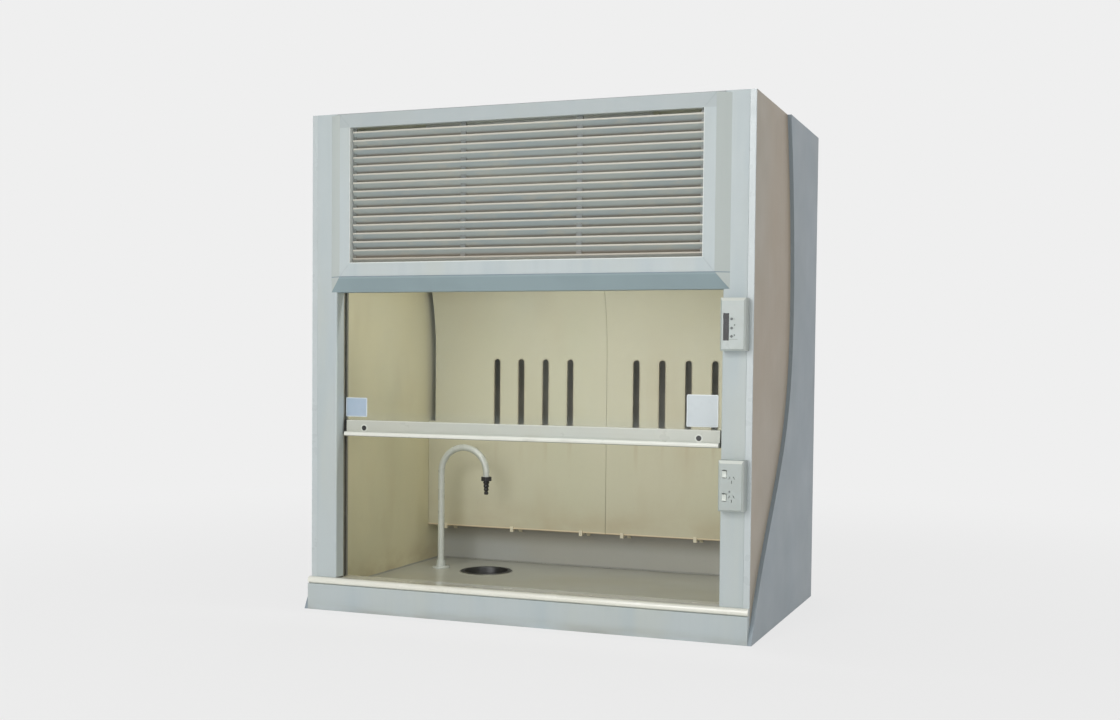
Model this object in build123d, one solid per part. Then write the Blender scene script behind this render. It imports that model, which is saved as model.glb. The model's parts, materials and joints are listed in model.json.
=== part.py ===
from build123d import *
from math import cos, radians, sin, tan
import os

# Bench-top chemical fume cupboard with a vertical sash, a bypass louvre grille above it, a slotted
# baffle in front of the exhaust plenum, a swan-neck water outlet with a drip cup, and a control box
# and a double power outlet on the right-hand post. Millimetres. X is to the right, Y to the back and
# Z up. The origin is at the bottom, in the middle of the overall width and depth.

# Overall sizes
width = 1200.0
height = 1285.0
depth = 710.0

# Boards and sheet
fascia_height = 67.0
fascia_thick = 18.0
cover_thick = 10.0
cover_edge_points = ((188.0, 267.0), (363.0, 512.0), (416.0, 830.0))
cover_edge_top = 348.0
board_thick = 16.0
liner_thick = 10.0
rear_thick = 13.0
roof_thick = 16.0
sheet_thick = 2.0

# Base and worktop
frame_height = 32.0
frame_bar = 40.0
worktop_thick = 12.0
splash_thick = 10.0
splash_top = 300.0

# Sill
sill_nose = 18.0
sill_depth = 140.0
sill_rear_height = 70.5
sill_wall = 5.0

# Posts at both sides of the opening
post_width = 58.0
post_return = 34.0
post_corner = 4.0
trim_thick = 3.0

# Header frame around the louvre grille
header_face = 30.0
header_bottom_face = 36.0
header_chamfer = 33.0
header_bottom_chamfer = 39.0
header_proud = 16.0
header_wall = 3.0
header_top_gap = 5.0
header_top_face = 34.0
header_groove = 1.5
header_bottom_return = 7.0
louvre_half_width = 469.0
louvre_height = 344.0

# Louvre slats
slat_count = 16
slat_pitch = 21.5
slat_first = 11.0
slat_nose_radius = 2.2
slat_thick = 1.6
slat_run = 14.0
slat_fall = 20.0
slat_end_gap = 3.0
slat_setback = 10.0
stile_width = 14.0
stile_thick = 6.0
stile_margin = 6.0

# Sash
sash_setback = 64.0
glass_thick = 5.0
glass_edge = 14.0
glass_top_gap = 41.0
rail_low = 454.0
rail_height = 41.0
rail_end_gap = 11.0
rail_front = 14.0
rail_back = 8.0
rail_wall = 3.0
lip_height = 12.0
lip_proud = 14.0
lip_radius = 5.5
glass_seat = 17.0
plug_radius = 6.5
plug_proud = 1.5
plug_inset = 52.0
sash_up = 30.0
sash_seal_gap = 2.5

# Sash channels and guides
channel_depth = 24.0
slot_width = 12.0
slot_reach = 36.0
channel_top_gap = 95.0
guide_clearance = 0.4
stop_height = 3.5
top_stop_place = 400.0
top_stop_length = 40.0

# Counterbalance
cable_radius = 1.0
cable_offset = 25.0
pulley_drop = 60.0
pulley_pitch_radius = 17.0
pulley_radius = 20.0
pulley_width = 8.0
pulley_axle_radius = 3.0
axle_clearance = 0.05
cable_clearance = 0.3
bracket_thick = 4.0
bracket_height = 60.0
weight_floor_gap = 50.0
weight_side_gap = 2.0
weight_top_gap = 15.0
weight_depth = 25.0

# Baffle
baffle_rear_gap = 90.0
baffle_thick = 6.0
baffle_low = 153.0
baffle_top_setback = 279.5
baffle_slot_reach = 60.0
baffle_bend_radius = 600.0
baffle_bend_angle = 45.0
baffle_relief = 23.0
baffle_relief_low = 470.0
seam_offset = 12.0
seam_gap = 1.0
slot_first = 102.0
slot_spacing = 78.0
slots_per_panel = 4
baffle_slot_width = 19.0
baffle_slot_low = 446.0
baffle_slot_high = 660.0
clip_places = (64.0, 284.0, 503.0)
clip_width = 10.0
clip_lip = 8.0
clip_wall = 3.0
standoff_radius = 8.0
standoff_place = 425.0
standoff_above_splash = 50.0
standoff_above_bend = 220.0

# Exhaust
exhaust_rear_gap = 190.0
exhaust_radius = 125.0
exhaust_wall = 3.0
exhaust_height = 40.0
exhaust_flange = 25.0
exhaust_flange_thick = 4.0

# Lamp under the roof
lamp_setback = 150.0
lamp_length = 620.0
lamp_width = 80.0
lamp_height = 40.0
lamp_wall = 2.0
lamp_bowl = 24.0
tube_radius = 8.0
holder_thick = 14.0

# Boxes on the right-hand post
box_width = 60.0
box_depth = 38.0
box_bevel = 4.0
box_top_bevel = 7.0
box_wall = 2.5
box_inset = 4.0
control_drop = 83.0
control_height = 122.0
outlet_centre = 371.0
outlet_height = 118.0
display_width = 14.0
display_height = 63.0
display_offset_x = -15.5
display_offset_z = -6.0
display_thick = 3.0
screen_width = 10.0
screen_height = 56.0
button_radius = 3.0
button_proud = 1.5
button_edge = 0.6
button_travel = 1.0
button_clearance = 0.2
button_offset_x = -2.5
button_offsets_z = (12.0, -9.0, -28.0)
board_gap = 6.0
circuit_thick = 1.6
plate_thick = 8.0
rocker_width = 10.0
rocker_height = 16.0
rocker_proud = 2.5
rocker_pivot_depth = 5.0
rocker_tilt = 7.0
rocker_clearance = 0.6
rocker_pin_radius = 1.5
rocker_pin_length = 1.5
rocker_offset_x = -14.5
rocker_offsets_z = (28.0, -26.0)
socket_offset_x = 3.0
socket_offsets_z = (16.0, -28.0)
socket_slot = 6.5
socket_slot_width = 1.8
socket_depth = 4.0

# Water outlet and drip cup
tap_x = -458.0
tap_rear_gap = 210.0
tap_flange_radius = 25.0
tap_flange_thick = 6.0
tap_shank_radius = 9.0
tap_shank_low = 6.0
tap_nut_radius = 14.0
tap_nut_thick = 6.0
spout_radius = 9.5
spout_bore = 7.0
spout_reach = 145.0
spout_arc_height = 328.0
spout_drop = 10.0
spout_socket = 18.0
collar_radius = 15.0
collar_height = 12.0
nozzle_tip_radius = 6.0
nozzle_length = 52.0
nozzle_bore = 4.0
cup_x = -308.0
cup_rear_gap = 217.0
cup_radius = 75.0
cup_rim = 9.0
cup_rim_proud = 3.0
cup_wall = 3.0
cup_floor = 6.0
cup_taper = 6.0
waste_spigot_radius = 8.5
waste_bore = 6.5
waste_pipe_radius = 11.0
waste_height = 20.0
waste_spigot_length = 30.0
water_pipe_radius = 6.0
water_height = 17.0
pipe_clearance = 0.5
push_fit = 0.05

# Places worked out from the sizes
rocker_corner = rocker_height / 2 - 1
rocker_swing = radians(rocker_tilt)
rocker_stand = (rocker_proud + rocker_pivot_depth) * cos(rocker_swing) + rocker_corner * sin(rocker_swing)
stand_out = box_depth - fascia_thick + rocker_stand - rocker_pivot_depth
front = -(depth - stand_out) / 2
rear = front + depth
post_face = front + fascia_thick
side_out = width / 2 - cover_thick
side_in = side_out - board_thick
wall_in = side_in - liner_thick
post_in = side_in - post_width
worktop_top = frame_height + worktop_thick
rear_in = rear - rear_thick
splash_face = rear_in - splash_thick
roof_low = height - roof_thick
sill_top = fascia_height + sill_nose
channel_front = post_face + post_return
channel_back = channel_front + channel_depth
sash_y = front + sash_setback
rail_half = post_in - rail_end_gap
rail_face = sash_y - rail_front
rail_top = rail_low + rail_height
cable_x = post_in + cable_offset
weight_y = sash_y - 2 * pulley_pitch_radius
pulley_y = sash_y - pulley_pitch_radius
baffle_y = rear - baffle_rear_gap
bend_angle = radians(baffle_bend_angle)
bend_rise = baffle_bend_radius * sin(bend_angle)
bend_run = baffle_bend_radius * (1 - cos(bend_angle))
lean_run = baffle_y - front - baffle_top_setback - bend_run
baffle_bend_height = roof_low - bend_rise - lean_run / tan(bend_angle)
exhaust_y = rear - exhaust_rear_gap
lamp_y = front + lamp_setback
box_x = side_out - box_inset - box_width / 2 - 6.0
box_front = post_face - box_depth
tap_y = rear - tap_rear_gap
cup_y = rear - cup_rear_gap
header_high = height - header_top_gap
louvre_high = header_high - header_top_face
louvre_low = louvre_high - louvre_height
header_low = louvre_low - header_bottom_face - header_bottom_chamfer
control_centre = header_low - control_drop
glass_top = roof_low - glass_top_gap
channel_top = height - channel_top_gap
pulley_height = height - pulley_drop


def sill_height_at(setback):
    """Height of the sill's sloping top at a distance behind the fascia's front face."""
    start = sill_nose / 2
    slope = (sill_rear_height - sill_top) / (sill_depth - start)
    return sill_top + slope * (setback - start)


sash_down = rail_low - sill_height_at(sash_setback - rail_front - lip_proud) - sash_seal_gap


def block(x0, x1, y0, y1, z0, z1):
    """A box between two corners."""
    centre = ((x0 + x1) / 2, (y0 + y1) / 2, (z0 + z1) / 2)
    return Pos(*centre) * Box(x1 - x0, y1 - y0, z1 - z0)


def prism_x(face, x0, x1):
    """A face drawn in Y and Z, extruded along X."""
    return Pos(x0, 0, 0) * extrude(Plane.YZ * face, x1 - x0, dir=(1, 0, 0))


def prism_y(face, y0, y1):
    """A face drawn in X and Z, extruded along Y."""
    return Pos(0, y0, 0) * extrude(Plane.XZ * face, y1 - y0, dir=(0, 1, 0))


def rod(start, end, radius):
    """A round bar between two points."""
    direction = Vector(*end) - Vector(*start)
    return extrude(Plane(origin=start, z_dir=direction) * Circle(radius), direction.length)


def corners(*points):
    """A closed face through its corners."""
    return Polygon(*points, align=None)


def mirrored(solid):
    """The same piece for the other side of the cabinet."""
    return mirror(solid, about=Plane.YZ)


def only(shape):
    """The single solid of a shape, without its wrapping."""
    return shape.solids()[0]


def fascia():
    """The board under the sill."""
    return block(-side_out, side_out, front, post_face, 0, fascia_height)


def base_frame():
    """Flat frame that carries the worktop, with three bays and holes for both pipes."""
    frame = block(-side_in, side_in, post_face, rear_in, 0, frame_height)
    bay = (2 * side_in - 4 * frame_bar) / 3
    for index in range(3):
        x0 = -side_in + frame_bar + index * (bay + frame_bar)
        frame -= block(x0, x0 + bay, post_face + frame_bar, rear_in - frame_bar, -1, frame_height + 1)
    waste_way = (cup_x, rear_in - frame_bar - 1, waste_height)
    frame -= rod(waste_way, (cup_x, rear_in + 1, waste_height), waste_pipe_radius + pipe_clearance)
    water_way = (tap_x, rear_in - frame_bar - 1, water_height)
    frame -= rod(water_way, (tap_x, rear_in + 1, water_height), water_pipe_radius + pipe_clearance)
    return frame


def worktop():
    """Grey worktop with holes for the cup and the water outlet."""
    top = block(-side_in, side_in, post_face, rear_in, frame_height, worktop_top)
    cup_hole = cup_radius - cup_rim + pipe_clearance
    top -= rod((cup_x, cup_y, frame_height - 1), (cup_x, cup_y, worktop_top + 1), cup_hole)
    tap_hole = tap_shank_radius + pipe_clearance
    top -= rod((tap_x, tap_y, frame_height - 1), (tap_x, tap_y, worktop_top + 1), tap_hole)
    return top


def rear_splash():
    """Grey upstand at the back of the worktop."""
    return block(-wall_in, wall_in, splash_face, rear_in, worktop_top, splash_top)


def sill():
    """Moulded sill: a rounded nose, a skin that slopes inward and two legs on the worktop."""
    nose = sill_nose / 2
    outline = corners(
        (front, fascia_height),
        (front, sill_top),
        (front + nose, sill_top),
        (front + sill_depth, sill_rear_height),
        (front + sill_depth, worktop_top),
        (front + sill_depth - sill_wall, worktop_top),
        (front + sill_depth - sill_wall, sill_rear_height - sill_wall),
        (channel_back, sill_height_at(channel_back - front) - sill_wall),
        (channel_back, worktop_top),
        (channel_back - sill_wall, worktop_top),
        (channel_back - sill_wall, sill_height_at(channel_back - front) - sill_wall),
        (post_face, sill_top - sill_wall - 1),
        (post_face, fascia_height),
    )
    nose_corners = [v for v in outline.vertices() if v.X < front + 1]
    outline = fillet(nose_corners, nose - 0.2)
    rear_corner = outline.vertices().sort_by_distance((front + sill_depth, sill_rear_height))[0]
    outline = fillet(rear_corner, sill_wall - 1)
    body = prism_x(outline, -side_out, side_out)
    for side in (-1, 1):
        x_low, x_high = sorted((side * side_in, side * (side_out + 1)))
        body -= block(x_low, x_high, post_face, rear, 0, height)
        x_low, x_high = sorted((side * wall_in, side * (side_in + 1)))
        body -= block(x_low, x_high, channel_front, rear, 0, height)
    return body


def side_panel():
    """Right-hand carcass board."""
    return block(side_in, side_out, post_face + trim_thick, rear, 0, height)


def side_cover():
    """Right-hand outer panel, with the swept front edge that rises from the front corner."""
    start = (front, 0)
    points = [(front + setback, level) for setback, level in cover_edge_points]
    top = (front + cover_edge_top, height)
    edge = Spline(start, *points, top)
    rest = Polyline(top, (rear, height), (rear, 0), start)
    return prism_x(make_face(edge.edges() + rest.edges()), side_out, side_out + cover_thick)


def liner():
    """Right-hand inner wall of the chamber."""
    return block(wall_in, side_in, channel_front, rear_in, worktop_top, roof_low)


def edge_trim():
    """Lipping on the front edge of the right-hand carcass board."""
    strip = block(side_in, side_out, post_face, post_face + trim_thick, 0, height)
    return chamfer(strip.edges().filter_by(Axis.Z).group_by(Axis.Y)[0], 0.8)


def post():
    """Right-hand post: pressed cover with a rounded inner edge and two returns."""
    low = sill_height_at(fascia_thick) + 0.2
    outline = Rectangle(post_width, post_return, align=(Align.MIN, Align.MIN))
    edges = outline.vertices().group_by(Axis.Y)[0]
    outline = fillet(edges[0], post_corner)
    inner = Pos(sheet_thick, sheet_thick) * Rectangle(
        post_width - 2 * sheet_thick, post_return, align=(Align.MIN, Align.MIN)
    )
    inner = fillet(inner.vertices().group_by(Axis.Y)[0][0], post_corner - sheet_thick)
    section = outline - inner
    return extrude(Pos(post_in, post_face, low) * section, height - low)


def rear_panel():
    """Back board with holes for both pipes."""
    board = block(-side_in, side_in, rear_in, rear, 0, height)
    board -= rod((cup_x, rear_in - 1, waste_height), (cup_x, rear + 1, waste_height),
                 waste_pipe_radius + pipe_clearance)
    board -= rod((tap_x, rear_in - 1, water_height), (tap_x, rear + 1, water_height),
                 water_pipe_radius + pipe_clearance)
    return board


def roof_panel():
    """Top board, notched round both posts, with the exhaust hole."""
    board = block(-side_in, side_in, post_face, rear_in, roof_low, height)
    for side in (-1, 1):
        x_low, x_high = sorted((side * post_in, side * (side_in + 1)))
        board -= block(x_low, x_high, post_face - 1, channel_front, 0, height + 1)
    hole = exhaust_radius - exhaust_wall
    return board - rod((0, exhaust_y, roof_low - 1), (0, exhaust_y, height + 1), hole)


def exhaust_spigot():
    """Flanged collar that the exhaust duct slides over."""
    flange = Cylinder(exhaust_radius + exhaust_flange, exhaust_flange_thick,
                      align=(Align.CENTER, Align.CENTER, Align.MIN))
    collar = Cylinder(exhaust_radius, exhaust_height, align=(Align.CENTER, Align.CENTER, Align.MIN))
    collar = chamfer(collar.edges().group_by(Axis.Z)[-1], 1)
    throat = Cylinder(exhaust_radius - exhaust_wall, 4 * exhaust_height)
    return Pos(0, exhaust_y, height) * (flange + collar - throat)


def lamp_housing():
    """Tray under the roof, with a lamp holder at each end."""
    half = lamp_length / 2
    y0 = lamp_y - lamp_width / 2
    y1 = lamp_y + lamp_width / 2
    low = roof_low - lamp_height
    tray = block(-half, half, y0, y1, low, roof_low)
    inside = block(-half + lamp_wall, half - lamp_wall, y0 + lamp_wall, y1 - lamp_wall, low - 1,
                   roof_low - lamp_wall)
    tray -= inside
    for side in (-1, 1):
        x_low, x_high = sorted((side * (half - lamp_wall), side * (half - lamp_wall - holder_thick)))
        holder = block(x_low, x_high, lamp_y - tube_radius, lamp_y + tube_radius,
                       low + 2, roof_low - lamp_wall)
        tray += holder
    return tray


def lamp_diffuser():
    """Bowl-shaped cover below the lamp tray."""
    top = roof_low - lamp_height
    half = lamp_width / 2
    outer = corners((lamp_y - half, top), (lamp_y + half, top), (lamp_y + half, top - lamp_bowl),
                    (lamp_y - half, top - lamp_bowl))
    outer = fillet(outer.vertices().group_by(Axis.Y)[0], lamp_bowl * 0.7)
    bowl = prism_x(outer, -lamp_length / 2, lamp_length / 2)
    inner_half = half - lamp_wall
    inner = corners((lamp_y - inner_half, top + 1), (lamp_y + inner_half, top + 1),
                    (lamp_y + inner_half, top - lamp_bowl + lamp_wall),
                    (lamp_y - inner_half, top - lamp_bowl + lamp_wall))
    inner = fillet(inner.vertices().group_by(Axis.Y)[0], lamp_bowl * 0.7 - lamp_wall)
    return bowl - prism_x(inner, -lamp_length / 2 + lamp_wall, lamp_length / 2 - lamp_wall)


def lamp_tube():
    """Fluorescent tube between the lamp holders."""
    half = lamp_length / 2 - lamp_wall - holder_thick
    height_of_axis = roof_low - lamp_height + 2 + tube_radius
    return rod((-half, lamp_y, height_of_axis), (half, lamp_y, height_of_axis), tube_radius)


def baffle_strip(x0, x1):
    """Vertical panel that curves forward to the roof, between two places along X."""
    centre = (baffle_y - baffle_bend_radius, baffle_bend_height)
    rise = roof_low + 20 - baffle_bend_height

    def outline(radius):
        at_low = (centre[0] + radius, baffle_low)
        at_bend = (centre[0] + radius, baffle_bend_height)
        arc = CenterArc(centre, radius, 0, baffle_bend_angle)
        end = arc @ 1
        climb = rise - (end.Y - baffle_bend_height)
        far = (end.X - climb * tan(bend_angle), end.Y + climb)
        return Line(at_low, at_bend), arc, Line(end, far)

    inner = outline(baffle_bend_radius)
    outer = outline(baffle_bend_radius + baffle_thick)
    closing = (Line(inner[0] @ 0, outer[0] @ 0), Line(inner[2] @ 1, outer[2] @ 1))
    face = make_face([*inner, *outer, *closing])
    panel = prism_x(face, x0, x1)
    return panel - block(x0 - 1, x1 + 1, front - depth, rear + depth, roof_low, 2 * height)


def baffle_panel(side):
    """One baffle panel: full width low down, relieved at the wall above, with round-ended slots."""
    edge = wall_in - seam_gap
    seam = seam_offset + side * seam_gap / 2
    x0, x1 = sorted((seam, side * edge))
    panel = baffle_strip(x0, x1)
    x_low, x_high = sorted((side * (wall_in - baffle_relief), side * (wall_in + 1)))
    panel -= block(x_low, x_high, front - depth, rear + depth, baffle_relief_low, 2 * height)
    slot_height = baffle_slot_high - baffle_slot_low
    for index in range(slots_per_panel):
        place = side * (slot_first + index * slot_spacing)
        middle = (baffle_slot_high + baffle_slot_low) / 2
        slot = Pos(place, middle) * SlotOverall(slot_height, baffle_slot_width, rotation=90)
        panel -= prism_y(slot, baffle_y - baffle_slot_reach, baffle_y + baffle_thick + 1)
    return panel


def baffle_clips():
    """Clips that grip the baffle's lower edge and reach back to the upstand."""
    back = baffle_y + baffle_thick
    outline = corners(
        (baffle_y - clip_wall, baffle_low + clip_lip),
        (baffle_y, baffle_low + clip_lip),
        (baffle_y, baffle_low),
        (back, baffle_low),
        (back, baffle_low + clip_lip),
        (back + clip_wall, baffle_low + clip_lip),
        (back + clip_wall, baffle_low),
        (splash_face, baffle_low),
        (splash_face, baffle_low - 2 * clip_lip),
        (splash_face - clip_wall, baffle_low - 2 * clip_lip),
        (splash_face - 4 * clip_wall, baffle_low - clip_wall),
        (back, baffle_low - clip_wall - 1),
        (baffle_y + clip_wall, baffle_low - clip_lip),
        (baffle_y - clip_wall, baffle_low - clip_lip),
    )
    clips = []
    for place in clip_places:
        for side in (-1, 1):
            middle = side * place
            clips.append(prism_x(outline, middle - clip_width / 2, middle + clip_width / 2))
    return Compound(children=[only(clip) for clip in clips])


def baffle_back_at(height_of_axis):
    """Depth of the baffle's rear face at a height, on the upright part or the curve."""
    rise = max(0.0, height_of_axis - baffle_bend_height)
    radius = baffle_bend_radius + baffle_thick
    return baffle_y - baffle_bend_radius + (radius ** 2 - rise ** 2) ** 0.5


def baffle_standoffs():
    """Spacers from the back board, each shaped to the rear face of the baffle that it carries."""
    pieces = []
    for height_of_axis in (splash_top + standoff_above_splash, baffle_bend_height + standoff_above_bend):
        start_y = baffle_back_at(height_of_axis + standoff_radius)
        for place in (-standoff_place, standoff_place):
            end = (place, rear_in, height_of_axis)
            spacer = rod((place, start_y, height_of_axis), end, standoff_radius)
            spacer -= baffle_strip(place - 2 * standoff_radius, place + 2 * standoff_radius)
            pieces.append(only(spacer))
    return Compound(children=pieces)


def header_frustum(margin, y_front, y_back):
    """Block with sloping sides and a sloping foot, drawn in by a margin all round."""
    face_half = louvre_half_width + header_face - margin
    base_half = louvre_half_width + header_face + header_chamfer - margin
    face_low = louvre_low - header_bottom_face + margin
    base_low = header_low + margin
    top = header_high - margin
    face = corners((-face_half, face_low), (face_half, face_low), (face_half, top), (-face_half, top))
    base = corners((-base_half, base_low), (base_half, base_low), (base_half, top), (-base_half, top))
    front_face = Plane.XZ.offset(-y_front) * face
    back_face = Plane.XZ.offset(-y_back) * base
    return loft([front_face.face(), back_face.face()], ruled=True)


def header_shell():
    """Pressed frame before it is cut at its mitres, with its return round the louvre opening."""
    y_face = post_face - header_proud
    shell = header_frustum(0, y_face, post_face)
    opening = block(-louvre_half_width, louvre_half_width, y_face - 1, post_face + 1,
                    louvre_low, louvre_high)
    shell -= opening
    hollow = header_frustum(header_wall, y_face + header_wall, post_face + header_wall)
    half = louvre_half_width + header_wall
    keep = block(-half, half, y_face - 1, post_face + 2 * header_wall,
                 louvre_low - header_wall, louvre_high + header_wall)
    shell -= hollow - keep
    shell += block(-post_in, post_in, post_face, channel_front, header_low, header_low + header_wall)
    shell -= block(-louvre_half_width, louvre_half_width, y_face + header_bottom_return, post_face + 1,
                   louvre_low - header_wall - 1, louvre_low)
    groove_z = louvre_low - header_bottom_face
    groove = block(-width, width, y_face - 1, y_face + header_groove,
                   groove_z - header_groove, groove_z + header_groove)
    return shell - groove


def header_members():
    """The header frame's top, bottom, left and right members, cut apart at their mitres."""
    shell = header_shell()
    half = louvre_half_width
    face_half = half + header_face
    slope = (header_bottom_face + header_bottom_chamfer) / (header_face + header_chamfer)
    far = width
    far_low = louvre_low - slope * (far - half)
    bottom = corners((-half, louvre_low), (half, louvre_low), (far, far_low), (-far, far_low))
    top = corners((-half, louvre_high), (half, louvre_high), (face_half, header_high),
                  (face_half, 2 * height), (-face_half, 2 * height), (-face_half, header_high))
    right = corners((half, louvre_low), (half, louvre_high), (face_half, header_high),
                    (face_half, 2 * height), (far, 2 * height), (far, far_low))
    zones = {
        "header_bottom": prism_y(bottom, front - depth, rear),
        "header_top": prism_y(top, front - depth, rear),
        "header_right": prism_y(right, front - depth, rear),
    }
    zones["header_left"] = mirrored(zones["header_right"])
    return {name: shell & zone for name, zone in zones.items()}


def louvre_grille():
    """Sloping slats with rolled noses, all carried by upright bars behind them."""
    nose_y = post_face - header_proud + slat_setback
    half = louvre_half_width - slat_end_gap
    first = louvre_high - slat_first
    blade = corners((nose_y, first - slat_thick), (nose_y, first + slat_thick),
                    (nose_y + slat_run, first + slat_thick - slat_fall),
                    (nose_y + slat_run, first - slat_thick - slat_fall))
    section = blade + Pos(nose_y, first) * Circle(slat_nose_radius)
    slat = only(prism_x(section, -half, half))
    grille = [Pos(0, 0, -index * slat_pitch) * slat for index in range(slat_count)]
    low = louvre_low - stile_margin
    high = louvre_high + stile_margin
    middle = half / 3
    for place in (-half, -middle, middle, half):
        x0 = place - stile_width / 2
        grille.append(block(x0, x0 + stile_width, post_face, post_face + stile_thick, low, high))
    return grille[0].fuse(*grille[1:])


def sash_glass():
    """Sliding pane."""
    half = post_in + glass_edge
    low = rail_top - glass_seat - 7
    return block(-half, half, sash_y - glass_thick / 2, sash_y + glass_thick / 2, low, glass_top)


def sash_rail():
    """Handle rail under the pane: hollow section with a flat face and a round lip."""
    back = sash_y + rail_back
    outline = corners((rail_face, rail_top), (back, rail_top), (back, rail_low),
                      (rail_face - lip_proud, rail_low), (rail_face - lip_proud, rail_low + lip_height),
                      (rail_face, rail_low + lip_height))
    lip = [v for v in outline.vertices() if v.X < rail_face - lip_proud / 2]
    outline = fillet(lip, lip_radius)
    seat_low = rail_top - glass_seat - 7
    half_seat = glass_thick / 2
    outline -= corners((sash_y - half_seat, seat_low), (sash_y + half_seat, seat_low),
                       (sash_y + half_seat, rail_top + 1), (sash_y - half_seat, rail_top + 1))
    hollow_top = seat_low - rail_wall
    hollow_low = rail_low + rail_wall
    outline -= corners((rail_face + rail_wall, hollow_low), (back - rail_wall, hollow_low),
                       (back - rail_wall, hollow_top), (rail_face + rail_wall, hollow_top))
    front_web = sash_y - half_seat - rail_wall
    outline -= corners((rail_face + rail_wall, seat_low), (front_web, seat_low),
                       (front_web, rail_top - rail_wall), (rail_face + rail_wall, rail_top - rail_wall))
    return prism_x(outline, -rail_half, rail_half)


def rail_plugs():
    """Round plugs near both ends of the rail's face."""
    pieces = []
    middle = rail_low + lip_height + (rail_height - lip_height) / 2 - 5
    for side in (-1, 1):
        place = side * (rail_half - plug_inset)
        plug = rod((place, rail_face, middle), (place, rail_face - plug_proud, middle), plug_radius)
        plug = chamfer(plug.edges().group_by(Axis.Y)[0], plug_proud / 2)
        pieces.append(only(plug))
    return Compound(children=pieces)


def sash_guides():
    """Sliding blocks at both ends of the rail, notched for the pane, which run in the channels."""
    half_thick = slot_width / 2 - guide_clearance
    reach = post_in + slot_reach - 4
    guide = block(rail_half, reach, sash_y - half_thick, sash_y + half_thick, rail_low, rail_top)
    guide -= block(rail_half - 1, post_in + glass_edge, sash_y - glass_thick / 2,
                   sash_y + glass_thick / 2, rail_top - glass_seat - 7, rail_top + 1)
    ends = guide.edges().filter_by(Axis.Y).group_by(Axis.X)[-1]
    guide = only(chamfer(ends, 2))
    return Compound(children=[guide, only(mirrored(guide))])


def channel():
    """Right-hand sash channel, open towards the pane."""
    low = sill_height_at(channel_front - front) + 0.2
    body = block(post_in, wall_in, channel_front, channel_back, low, channel_top)
    slot = block(post_in - 1, post_in + slot_reach, sash_y - slot_width / 2, sash_y + slot_width / 2,
                 low - 1, channel_top + 1)
    return body - slot


def sash_stops():
    """Rubber buffers at the foot of both channels and under the roof above the pane."""
    pieces = []
    low = sill_height_at(channel_front - front) + 0.2
    pad = slot_width / 2 - 1
    lowest_guide = rail_low - sash_down
    for side in (-1, 1):
        x0, x1 = sorted((side * (post_in + 4), side * (post_in + slot_reach)))
        pieces.append(only(block(x0, x1, sash_y - pad, sash_y + pad, low,
                                 min(low + stop_height, lowest_guide - 0.3))))
        near = top_stop_place - top_stop_length / 2
        x0, x1 = sorted((side * near, side * (near + top_stop_length)))
        pieces.append(only(block(x0, x1, sash_y - pad, sash_y + pad, glass_top + sash_up + 1, roof_low)))
    return Compound(children=pieces)


def pulley():
    """Right-hand grooved pulley on the counterbalance cable's line."""
    half = pulley_width / 2
    root = pulley_pitch_radius - cable_radius - cable_clearance
    bore = pulley_axle_radius + axle_clearance
    profile = corners((bore, -half), (pulley_radius, -half), (pulley_radius, -half + 1.5),
                      (root, -cable_radius), (root, cable_radius), (pulley_radius, half - 1.5),
                      (pulley_radius, half), (bore, half))
    wheel = revolve(Plane.XZ * profile, Axis.Z)
    return Pos(cable_x, pulley_y, pulley_height) * Rot(0, 90, 0) * wheel


def pulley_brackets():
    """Plates on the posts' outer returns, each with the axle that carries its pulley."""
    outer = side_in - sheet_thick
    plate = block(outer - bracket_thick, outer, post_face + sheet_thick + 2, channel_front - 1,
                  pulley_height - bracket_height / 2, pulley_height + bracket_height / 2)
    inner_end = cable_x - pulley_width / 2 - 3
    axle = rod((inner_end, pulley_y, pulley_height), (outer - bracket_thick, pulley_y, pulley_height),
               pulley_axle_radius)
    shoulder = rod((cable_x + pulley_width / 2 + 0.3, pulley_y, pulley_height),
                   (outer - bracket_thick, pulley_y, pulley_height), pulley_axle_radius + 2)
    head = rod((inner_end, pulley_y, pulley_height),
               (cable_x - pulley_width / 2 - 0.3, pulley_y, pulley_height), pulley_axle_radius + 2)
    bracket = only(plate + axle + shoulder + head)
    return Compound(children=[bracket, only(mirrored(bracket))])


def weight_top():
    """Height of a counterweight's top with the sash where it rests."""
    return pulley_height - pulley_radius - sash_down - weight_top_gap


def cable():
    """Right-hand cable: up from the guide, over the pulley and down to the counterweight."""
    radius = pulley_pitch_radius
    up = Line((cable_x, sash_y, rail_top), (cable_x, sash_y, pulley_height))
    crown = (cable_x, pulley_y, pulley_height + radius)
    over = ThreePointArc(up @ 1, crown, (cable_x, weight_y, pulley_height))
    down = Line(over @ 1, (cable_x, weight_y, weight_top()))
    path = Wire([up, over, down])
    return sweep(Plane(origin=path @ 0, z_dir=path % 0) * Circle(cable_radius), path)


def counterweight():
    """Right-hand cast weight inside the post."""
    x0 = post_in + sheet_thick + weight_side_gap
    x1 = side_in - sheet_thick - weight_side_gap
    y0 = post_face + sheet_thick + weight_side_gap - 0.5
    low = sill_top + sash_up + weight_floor_gap
    bar = block(x0, x1, y0, y0 + weight_depth, low, weight_top())
    return chamfer(bar.edges().group_by(Axis.Z)[-1] + bar.edges().group_by(Axis.Z)[0], 2)


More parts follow.
